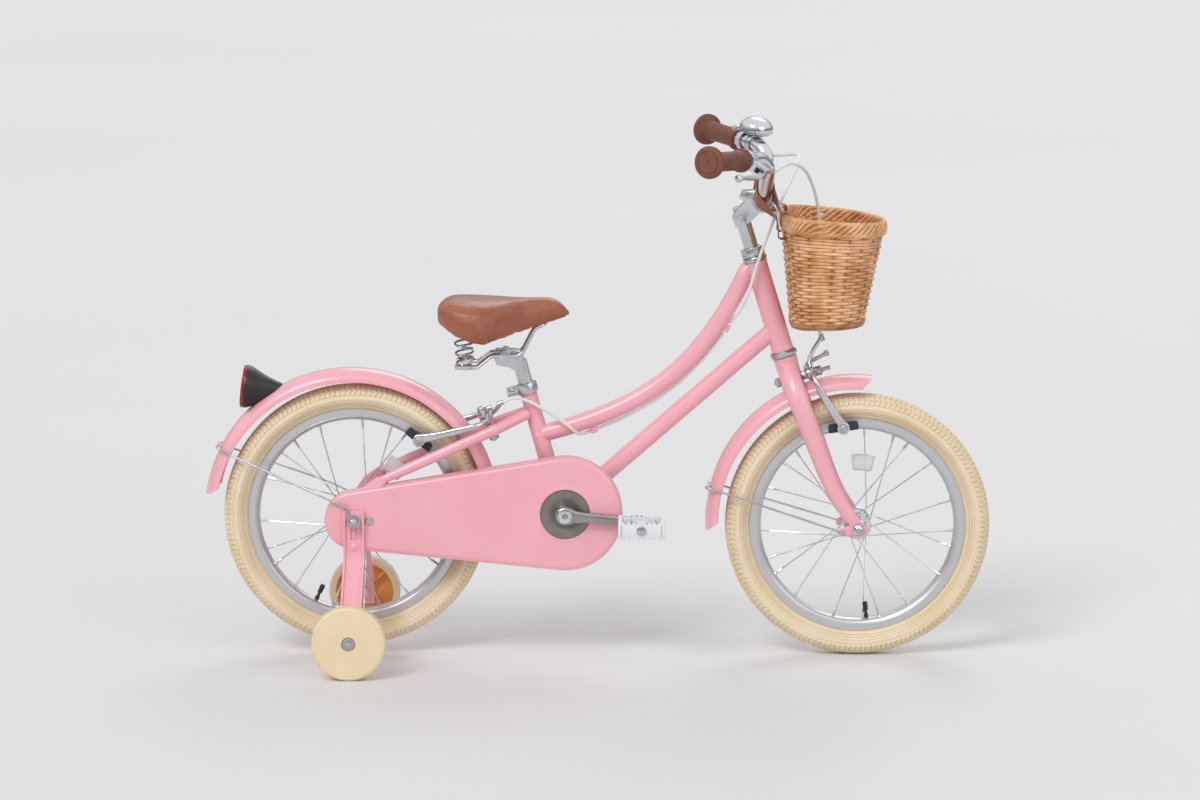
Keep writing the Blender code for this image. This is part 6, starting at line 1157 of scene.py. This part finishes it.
def bar_place(y):
    """The bar's middle at a distance from the middle plane, as bicycle millimetres."""
    path = bar_path()
    for a, b in zip(path, path[1:]):
        if a.y <= y * MM <= b.y and b.y > a.y:
            found = a.lerp(b, (y * MM - a.y) / (b.y - a.y))
            break
    return Vector((found.x / MM + LENGTH_MIDDLE, found.y / MM, found.z / MM))


# Handlebar

def grip_line(side):
    """A grip's outer end, and the direction out along it."""
    end, inner = at(521.5, side * 235.0, 763.0), at(573.0, side * 143.0, 756.5)
    return end, (end - inner).normalized()


def lever_place(side):
    """Places a point given out along the grip, away from the bar towards the lever, and square to both."""
    end, out = grip_line(side)
    level = out.cross(Z).normalized()
    if level.x < 0:
        level = -level
    square = level.cross(out).normalized()
    if square.z < 0:
        square = -square
    droop = math.radians(36.0)
    away = level * math.cos(droop) - square * math.sin(droop)
    normal = out.cross(away).normalized()
    middle = end - out * 0.117
    return lambda u, v, w: middle + (out * u + away * v + normal * w) * MM


def bar_path():
    """The bar's middle line from grip to grip."""
    end, out = grip_line(1)
    half = rounded([BAR_CLAMP, BAR_CLAMP + Y * 30 * MM, at(611, 84, 737), end - out * 0.160,
                    end - out * 0.006],
                   [26, 24, 26], 10)
    return [Vector((p.x, -p.y, p.z)) for p in reversed(half)] + half[1:]


def handlebar(chrome):
    """A bent chromed tube, thicker where the stem holds it, with knurled rings there."""
    parts = [swept(bar_path(), 11.1, 28)]
    sleeve = [(11.0, -20.5), (11.6, -20.0), (12.7, -19.0)]
    for ring in range(9):
        sleeve += [(12.7, -18.4 + ring * 4.1), (12.5, -17.9 + ring * 4.1), (12.7, -17.4 + ring * 4.1)]
    sleeve += [(12.7, 19.0), (11.6, 20.0), (11.0, 20.5)]
    parts.append(spun(sleeve, BAR_CLAMP, Y, 40))
    settle(joined(parts), "handlebar_tube", "steering", chrome, "chrome_steel", "handlebar", sharp=40)


def grips(rubbers):
    """Grips with a rolled outer end, a ring at the inner end and a plain barrel between them."""
    profile = [(0, -1.8), (2.0, -1.8), (2.6, -0.4), (14.8, 0.0), (15.4, -0.9), (16.6, -0.9), (17.2, 0.0),
               (21.2, -0.8), (22.8, -1.8), (23.6, -2.9), (22.9, -3.5), (22.9, -4.2), (23.6, -4.9),
               (23.4, -6.6),
               (22.6, -7.8), (18.0, -8.9), (15.4, -10.4), (14.3, -13.0), (14.2, -17.0), (14.2, -88.0),
               (14.6, -91.0), (16.4, -93.2), (17.5, -95.6), (17.6, -98.0), (17.6, -101.4), (17.0, -103.4),
               (15.4, -104.8), (11.4, -105.0), (11.4, -104.0), (0, -104.0)]
    for name, side in SIDES:
        end, out = grip_line(side)
        settle(spun(profile, end, out, 56), "grip_rubber_" + name, "steering", rubbers[side], "brown_rubber",
               "grip_" + name, sharp=30)


# Bell

def bell(chrome, dark):
    """A chromed bell: stepped dome, steel base and clamp band."""
    end, out = grip_line(1)
    place = end - out * 0.145
    axis = heading(math.radians(90 - 10.0))
    dome = [(25.0, 18.2), (25.7, 18.6), (25.8, 21.0), (25.4, 25.0), (24.4, 28.4), (23.4, 30.0), (22.6, 30.6),
            (21.4, 32.4), (18.6, 35.6), (14.6, 38.0), (10.4, 39.2), (7.6, 39.6), (6.8, 40.1), (4.0, 40.4),
            (0, 40.5), (0, 38.8), (10.0, 37.6), (17.6, 34.0), (22.2, 28.0), (24.2, 21.0), (24.4, 18.4)]
    settle(spun(dome, place, axis, 72), "bell_dome", "steering", chrome, "chrome_steel", "bell", sharp=28)
    base = [spun([(0, 12.6), (12.0, 12.6), (19.4, 14.4), (21.2, 15.4), (21.2, 17.6), (0, 17.6)], place, axis,
                 48)]
    base.append(spun([(0, 11), (3.5, 11), (3.5, 38.5), (0, 38.5)], place, axis, 20))
    base.append(spun([(11.4, -6.0), (13.6, -6.0), (14.1, -5.5), (14.1, 5.5), (13.6, 6.0), (11.4, 6.0)], place,
                     out,
                     40))
    settle(joined(base), "bell_base", "steering", dark, "plated_steel", sharp=35)


# Stem, headset and small forgings

def worked(name, width, body, finish, slot, piece_name, segments=2, angle=28):
    """A forging or pressing: the frame's own solid, merged, with its edges rounded as tooling leaves them."""
    nothing_selected()
    piece = bpy.data.objects.new(piece_name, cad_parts[name].data.copy())
    bpy.context.scene.collection.objects.link(piece)
    edit(piece)
    bpy.ops.mesh.remove_doubles(threshold=0.00001)
    bpy.ops.mesh.select_all(action="SELECT")
    bpy.ops.mesh.dissolve_limited(angle_limit=math.radians(1.0))
    bpy.ops.object.mode_set(mode="OBJECT")
    soften(piece, width, segments, angle)
    return settle(piece, piece_name, body, finish, slot, name, sharp=38)


def headset(steel):
    """Turned cups with a stepped lip."""
    top = [(12.9, 139.1), (16.6, 139.1), (17.4, 139.6), (18.0, 140.8), (18.0, 145.0), (17.2, 146.2),
           (15.0, 146.9),
           (12.9, 146.9)]
    low = [(17.8, -8.9), (19.6, -8.6), (20.3, -7.6), (20.3, -3.2), (19.2, -2.2), (18.0, -0.9), (17.0, -0.1),
           (13.2, -0.1), (13.2, -8.9)]
    for name, node_name, profile in (("top", "upper", top), ("low", "lower", low)):
        settle(spun(profile, HEAD, STEER_UP, 56), "headset_cup_" + name, "frame", steel, "plated_steel",
               "headset_" + node_name + "_cup")


def ferrules(steel):
    """A crimped cap where each cable housing meets its lever."""
    cap = [(0, -1.0), (4.1, -1.0), (4.1, 0.8), (3.3, 1.4), (3.2, 7.4), (2.9, 8.6), (2.5, 9.0), (0, 9.0)]
    for name, side in SIDES:
        place = lever_place(side)
        foot = place(-33.0, 27, 0)
        way = (place(-43.0, 27, 0) - foot).normalized()
        settle(spun(cap, foot, way, 24), "lever_ferrule_" + name, "steering", steel, "plated_steel")


# Brakes

def calliper(prefix, place, first_level, pad, pad_tilt, barrel, anchor, alloy, steel, slate):
    """Two crossed forged arms on one bolt, curved out round the tyre, with slotted feet and rubber shoes.

    The brake's own axes: X away from the frame along the bolt, Y sideways, Z up from the bolt. pad is
    where the shoes are ahead of the bolt and below it; barrel and anchor are what each arm's horn
    holds, as X, Y and the two heights.
    """
    shoe_x, drop = pad
    pad_back = 23.8
    eye = place(Vector((0, 0, 0)))
    bolt_way, side_way, up_way = ((place(Vector(way)) - eye).normalized() for way in (X, Y, Z))
    foot = place(Vector((shoe_x, 0, -drop)))
    for side, level, (x, y, low, high) in ((1, first_level, anchor), (-1, first_level + 6.0, barrel)):
        middle = level + 2.8
        shape = [(0, 0, 9.0, 2.8), (10, -0.2, 8.8, 2.8), (20, -1.6, 8.2, 2.9), (29, -6.5, 7.2, 3.2),
                 (34.4, -15, 6.4, 3.8), (35.6, -28, 5.6, 4.6), (35.2, -44, 4.9, 5.4),
                 (34.2, 26 - drop, 4.4, 6.0),
                 (pad_back + 8.4, 10 - drop, 4.0, 6.6), (pad_back + 7.4, 2 - drop, 3.8, 7.2)]
        points, sizes = [], []
        for across, up, half, thick in shape:
            push = (shoe_x - middle) * min(1.0, max(0.0, -up) / drop) ** 1.5
            points.append(Vector((middle + push + (thick - 2.8) * 0.5, side * across, up)))
            sizes.append(Vector((half, thick, 0)))
        points, sizes = smooth(points, 4), smooth(sizes, 4)
        rings = []
        for index, (point, size) in enumerate(zip(points, sizes)):
            line = direction(points, index)
            thick_way = (X - line * X.dot(line)).normalized()
            wide_way = line.cross(thick_way)
            rings.append([place(point + wide_way * size.x * c + thick_way * size.y * s) for c,
                          s in oval(20, 0.55)])
        parts = [lofted(rings)]
        parts.append(spun([(3.3, level), (8.6, level), (9.5, level + 0.9), (9.5, level + 4.7),
                           (8.6, level + 5.6),
                           (3.3, level + 5.6)], eye, bolt_way, 40))
        end = (low + high) / 2
        if side * y > 0:
            horn = [(middle, y * 0.35, 2), (middle + 1, y - 4, end * 0.6), (x - 1, y - 1, end)]
        else:
            horn = [(middle, 0, 2), (middle, y * 0.3, end * 0.35),
                    (middle + (x - middle) * 0.3, y * 0.6, end * 0.65),
                    (x - 1, y - 1, end)]
        horn = smooth([place(Vector(p)) for p in horn], 6)
        parts.append(swept(horn, 3.4, 14,
                           taper=[1.15 - 0.25 * k / (len(horn) - 1) for k in range(len(horn))]))
        shoe_end = foot + side_way * side * pad_back * MM
        parts.append(spun(outward(side, (5.0, 3.2), (8.4, 3.2), (9.2, 3.6), (9.2, 10.4), (8.4, 11.0),
                                  (5.0, 11.0)),
                          shoe_end, side_way, 32))
        own = "left" if side * side_way.y > 0 else "right"
        body = prefix + "_brake_arm_" + own
        settle(joined(parts), prefix + "_calliper_arm_" + own, body, alloy, "cast_alloy", body, sharp=40)
        tops = [spun([(0, low), (3.4, low), (3.8, low + 0.5), (3.8, high - 3.4), (3.1, high - 3.0),
                      (3.1, high - 2.2),
                      (3.8, high - 1.8), (3.6, high), (0, high)], place(Vector((x, y, 0))), up_way, 24),
                spun(outward(side, (0, -2), (4.4, -2), (4.4, 15), (3.6, 15.6), (0, 15.6)), shoe_end, side_way,
                     20),
                spun(outward(side, (0, 11), (6.9, 11), (6.9, 14), (5.8, 14.8), (0, 14.8)), shoe_end, side_way,
                     6)]
        settle(joined(tops), prefix + "_calliper_bolts_" + own, body, steel, "plated_steel")
        tilt = math.radians(pad_tilt)
        ahead, square = heading(tilt), heading(tilt + math.pi / 2)
        rings = []
        for w, grow in ((14.8, -0.5), (15.4, 0.1), (22.8, 0.3), (23.8, -0.6)):
            middle = Vector((shoe_x, side * w, -drop))
            rings.append([place(middle + ahead * (u + math.copysign(grow,
                                                                    u)) + square * (v + math.copysign(grow,
                                                                                                      v)))
                          for u, v in ((-22.2, -4.4), (-21.6, 1.0), (-20.0, 4.8), (-6.0, 5.6), (6.0, 5.6),
                                       (20.0, 4.8), (21.6, 1.0), (22.2, -4.4), (20.0, -5.4), (-20.0, -5.4))])
        settle(lofted(rings), prefix + "_brake_shoe_" + own, body, slate, "black_plastic", sharp=50)


def front_brake_place(point):
    """The front brake's own axes, on the fork's crown."""
    return steer(point.x, point.y, point.z - 45.0)


def rear_brake_place(point):
    """The rear brake's own axes: its bolt leans back and its shoes lie down the stays."""
    away, up = heading(STAY_LEAN + math.pi / 2), heading(STAY_LEAN)
    return STAY_BRIDGE + (away * point.x + up.cross(away) * point.y + up * point.z) * MM


# Cables

REAR_ROUTE_FRAME = [(547.0, 0.0, 483.5), (529.4, 0.0, 459.5), (511.9, 0.0, 438.9), (493.2, 0.0, 419.9),
                    (478.2, 0.0, 406.6), (457.0, 0.0, 390.1), (434.1, 0.0, 375.1), (409.5, 0.0, 361.4),
                    (389.9, 0.0, 351.9), (364.0, 0.0, 341.1), (345.5, 0.0, 334.1), (336.0, -4.5, 332.0),
                    (328.0, -12.5, 336.0), (317.0, -18.5, 346.0), (298.0, -21.0, 361.0),
                    (275.0, -21.5, 375.0),
                    (256.0, -21.0, 384.5)]
REAR_ROUTE_FRONT = [(654.0, 36.0, 746.0), (657.0, 16.0, 740.0), (651.0, -2.0, 725.0), (640.5, -14.0, 704.0),
                    (629.6, -22.0, 680.0), (616.0, -25.0, 645.0), (604.0, -26.0, 613.0),
                    (595.0, -26.0, 586.0),
                    (584.0, -22.5, 548.0), (573.0, -12.0, 522.0), (563.0, -2.5, 507.0), (556.4, 0.0, 497.8)]
FRONT_ROUTE = [(640.0, -52.0, 741.0), (655.0, -30.0, 737.0), (668.0, -12.0, 725.0), (679.0, 4.0, 700.0),
               (686.5, 15.0, 668.0), (691.0, 21.0, 620.0), (692.5, 23.5, 565.0), (691.0, 24.5, 525.0)]


def cables(white):
    """White housings on their routes, from each lever to its brake."""
    right, left = ([lever_place(side)(out, 27, 0) for out in (-34.4, -52)] for side in (-1, 1))
    front_end = [front_brake_place(Vector((60.3, 25.0, 48.0 + rise))) for rise in (16.0, 1.4)]
    rear_end = [rear_brake_place(Vector((31.0, 20.0, 35.5 + rise))) for rise in (16.0, 0.6)]
    routes = (("front_brake_housing", "steering", "front_brake_cable",
               right + [at(*p) for p in FRONT_ROUTE] + front_end),
              ("rear_brake_housing_front", None, "rear_brake_cable_front",
               left + [at(*p) for p in REAR_ROUTE_FRONT]),
              ("rear_brake_housing", "frame", "rear_brake_cable",
               [at(*p) for p in REAR_ROUTE_FRAME] + rear_end))
    for name, body, old, route in routes:
        housing = settle(swept(smooth(route, 8), 2.4, 12), name, body, white, "white_housing", old, sharp=60)
        if body is None:
            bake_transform(housing)


def chainring(steel):
    """The ring of 32 teeth on the right crank, and its boss."""
    pitch = 12.7 / (2 * math.sin(math.pi / 32))
    outline = []
    for tooth in range(32):
        for share, depth in ((-0.14, 2.2), (0.14, 2.2), (0.36, -2.4), (0.5, -3.2), (0.64, -2.4)):
            place = CRANK_MIDDLE + heading(math.tau * (tooth + share) / 32) * (pitch + depth) * MM
            outline.append((place.x, place.z))
    teeth = plate(outline, -0.0443, -0.0417, bevel=0.4)
    boss = spun([(8.3, -48), (15.0, -47.6), (15.0, -38.0), (8.3, -38.0)], CRANK_MIDDLE, Y, 32)
    settle(joined([teeth, boss]), "crank_chainring", "cranks", steel, "plated_steel", "crank_right", sharp=35)


def mudguard_tabs():
    """The rear blade's tab at the bridge and its tongue at the low bridge; the front blade's tab."""
    rear = box((-0.0215, -0.009, -0.0104), (0.009, 0.009, -0.0088), 0.5)
    rear.data.transform(Matrix.Translation(STAY_BRIDGE) @ Matrix.Rotation(-STAY_LEAN, 4, "Y"))
    way = heading(math.radians(14.0))
    foot = [REAR_GUARD + place * MM for place in (way * 222.0, way * 220.4, X * 220.0, X * 221.6)]
    tongue = plate([(p.x, p.z) for p in foot], -0.009, 0.009, bevel=0.5)
    front = box((-0.0168, -0.008, -0.074), (-0.0153, 0.008, -0.037), 0.5)
    front.data.transform(Matrix.Translation(HEAD) @ Matrix.Rotation(-HEAD_LEAN, 4, "Y"))
    return [rear, tongue], [front]


def wheel(prefix, axle, finishes, hub_half, seat, valve_turn, reflector):
    """A whole wheel, in the body that turns it."""
    rubber, steel, clear, black = finishes
    body = prefix + "_wheel"
    tyre(prefix, axle, body, rubber)
    rim(prefix, axle, body, turned_alloy(prefix + "_rim_alloy", axle), valve_turn, black)
    spokes(prefix, axle, body, steel, hub_half, seat)
    spoke_reflector(prefix, axle, body, clear, *reflector)


# The bicycle

pink = pink_enamel()
rubber = cream_rubber()
cream = moulded("cream_polypropylene", "#EBD9B6", "#E8D5B0", 0.4, 0.52)
orange = moulded("orange_polypropylene", "#F9BA70", "#F4AF60", 0.4, 0.52)
black = moulded("black_abs", "#1D1D20", "#242428", 0.3, 0.42)
white = moulded("white_vinyl_housing", "#EEEEEC", "#E4E4E1", 0.25, 0.36, 0.008)
chrome = metal("chromed_steel", "#DDDFE2", "#D0D3D7", 0.06, 0.15, 6.0, 0.004)
spring = metal("black_chromed_steel", "#B2B4B8", "#A1A3A7", 0.1, 0.2, 4.0, 0.005)
zinc = metal("zinc_plated_steel", "#C9CBCE", "#B8BABE", 0.18, 0.28, 3.0, 0.005)
satin = metal("satin_cast_alloy", "#D4D6D9", "#C8CACD", 0.2, 0.3, 3.0, 0.005)
forged = metal("forged_crank_steel", "#AEABA6", "#9F9C97", 0.24, 0.36, 3.0, 0.006)
grey = metal("burnished_steel_disc", "#97948B", "#8B887F", 0.38, 0.5, 2.0, 0.01)
oiled = metal("oiled_chain_steel", "#6A6762", "#5A5752", 0.3, 0.45, 2.4, 0.02)
clear = prismatic("clear_acrylic", "#F4F5F6", 0.22, 3.0, 0.45)
red = prismatic("red_acrylic", "#A61318", 0.16, 3.2, 0.25)
frosted = moulded("frosted_polycarbonate", "#E7E9EB", "#DDE0E3", 0.24, 0.36, 0.05)
leather = saddle_leather()
strap_hide = saddle_leather()
thread = moulded("waxed_tan_thread", "#C98B5E", "#BE8054", 0.55, 0.7, 0.05)
honey = willow("honey_willow_rods", "#F6CBA0", "#E5AC77", "#D2975F")
dark_honey = willow("dark_willow_stakes", "#CF9660", "#AC7240", "#915B30")
rim_honey = willow("honey_willow_rim", "#F3C497", "#DFA56C", "#CA8E57")
brown = {side: grip_rubber(name, side) for name, side in SIDES}

pink_frame(pink)
pink_fork(pink)
wheel_finishes = rubber, chrome, clear, black
wheel("rear", REAR, wheel_finishes, 49.0, 17.0, math.radians(245), (math.radians(50), -6.2))
wheel("front", FRONT, wheel_finishes, 42.0, 0.0, math.radians(-84), (math.radians(85), 4.9))
rear_tabs, front_tabs = mudguard_tabs()
mudguard("rear", REAR_GUARD, 9.0, 172.0, "frame", pink, rear_tabs)
mudguard("front", FRONT_GUARD, 83.0, 183.5, "steering", pink, front_tabs)
eyes = [spun(outward(side, (5.0, 66.1), (10.0, 66.1), (10.5, 66.6), (10.5, 68.0), (10.0, 68.5), (5.0, 68.5)),
             REAR, Y, 40) for side in (-1, 1)]
wire_stay("rear", REAR_GUARD, at(-203.8, 0, 313.1),
          [REAR + Vector(p) * MM for p in ((-6.5, 67.8, 7.6), (-7.5, 67.8, 19.5), (-50, 67.6, 39))],
          "frame", zinc, eyes)
stud_place = steer(AXLE_AHEAD - 23.5, 0, AXLE_UP + 2.0)
studs = [spun(outward(side, (0, 48.7), (4.2, 48.7), (4.2, 52.9), (3.6, 53.5), (0, 53.5)), stud_place, Y, 6)
         for side in (-1, 1)]
wire_stay("front", FRONT_GUARD, at(522, 0, 254.4), [stud_place + Y * 50.8 * MM], "steering", zinc, studs)
chain_case(pink, zinc)
crank_sets(forged, chrome, grey)
chainring(zinc)
pedals(frosted, zinc)
stabiliser_wheels(cream, orange, zinc)
tail_reflector(black, red)
padded_saddle(leather, thread)
saddle_undercarriage(chrome)
coil_springs(spring)
woven_basket(honey, dark_honey, rim_honey)
basket_straps(strap_hide)
handlebar(chrome)
grips(brown)
bell(chrome, zinc)
headset(zinc)
ferrules(zinc)
cables(white)

worked("stem", 1.0, "steering", satin, "cast_alloy", "stem_forging")
worked("headset_locknut", 0.6, "steering", zinc, "plated_steel", "headset_nut")
worked("seat_collar", 0.8, "frame", satin, "cast_alloy", "seat_clamp")
worked("seatpost", 0.6, "seatpost", satin, "cast_alloy", "seat_pillar")
worked("bell_lever", 0.3, "bell_lever", zinc, "plated_steel", "bell_thumb_lever")
worked("rear_sprocket", 0.3, "sprocket", oiled, "plated_steel", "rear_cog")
worked("rear_axle", 0.5, "frame", zinc, "plated_steel", "rear_axle_and_nuts")
worked("front_axle", 0.5, "steering", zinc, "plated_steel", "front_axle_and_nuts")
worked("front_brake_bolt", 0.4, "steering", zinc, "plated_steel", "front_brake_pivot")
worked("rear_brake_bolt", 0.4, "frame", zinc, "plated_steel", "rear_brake_pivot")
for name, _ in SIDES:
    worked("stabiliser_bracket_" + name, 0.6, "frame", pink, "pink_paint", "stabiliser_arm_" + name)
    worked("brake_lever_clamp_" + name, 0.7, "steering", satin, "cast_alloy", "lever_bracket_" + name)
    worked("brake_lever_" + name, 1.1, "brake_lever_" + name, satin, "cast_alloy", "lever_blade_" + name, 3)
slate = moulded("slate_brake_rubber", "#2E3440", "#262B35", 0.5, 0.64)
calliper("front", front_brake_place, 24.0, (53.0, 89.0), -8.6, (60.3, 25.0, 37.0, 48.0),
         (60.3, 25.0, 14.0, 22.0), satin, zinc, slate)
calliper("rear", rear_brake_place, 12.0, (29.4, 101.7), -27.0, (31.0, 20.0, 26.0, 35.5),
         (31.0, 20.0, 10.0, 17.0),
         satin, zinc, slate)
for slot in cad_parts["chain"].material_slots:
    slot.material = oiled

# Floor, light and camera

nothing_selected()
bpy.ops.mesh.primitive_grid_add(x_subdivisions=8, y_subdivisions=8, size=60, location=(0, 0, 0))
floor = bpy.context.object
floor.name = "studio_floor"
paper, tree, shader, place = begin("pale_studio_paper", Roughness=0.6)
tree.links.new(drift(tree, place, "#E4E4E5", "#E1E1E2", 2600.0), shader.inputs["Base Color"])
floor.data.materials.append(paper)

world = bpy.data.worlds.new("studio")
bpy.context.scene.world = world
world.use_nodes = True
sky = world.node_tree
rays = node(sky, "LightPath")
shows = maths(sky, "MAXIMUM", rays.outputs["Is Camera Ray"], rays.outputs["Is Glossy Ray"])
shows = maths(sky, "MAXIMUM", shows, rays.outputs["Is Transmission Ray"])
way = node(sky, "SeparateXYZ", {"Vector": node(sky, "TexCoord").outputs["Object"]})
walls = node(sky, "MapRange", {"Value": way.outputs["Z"], "From Min": 0.06, "From Max": 0.5, "To Min": 0.26,
                               "To Max": 1.0}, interpolation_type="SMOOTHSTEP")
level = node(sky, "Mix", {"Factor": shows, "A": 0.62, "B": walls.outputs["Result"]})
sky.nodes["Background"].inputs["Color"].default_value = linear("#F4F4F5")
sky.links.new(level.outputs["Result"], sky.nodes["Background"].inputs["Strength"])
for name, way, wide, power in (("key", (0.45, 0.75, -0.85), 24.0, 1.25),
                               ("fill", (-0.8, 0.9, -0.5), 40.0, 0.35),
                               ("rim", (-0.2, -0.9, -0.8), 30.0, 0.4)):
    bpy.ops.object.light_add(type="SUN", location=(0, 0, 3))
    lamp = bpy.context.object
    lamp.name = name
    lamp.data.angle = math.radians(wide)
    lamp.data.energy = power
    lamp.rotation_euler = Vector(way).to_track_quat("-Z", "Y").to_euler()

# The photo's camera, as fitted to the bicycle in it
bpy.ops.object.camera_add(location=(0.11017, -7.5604, 1.5715), rotation=(math.pi / 2 - 0.156, 0, 0.014))
camera = bpy.context.object
camera.data.lens = 154.45
camera.data.sensor_width = 36.0
bpy.context.scene.camera = camera
bpy.context.scene.view_settings.view_transform = "Standard"

nothing_selected()
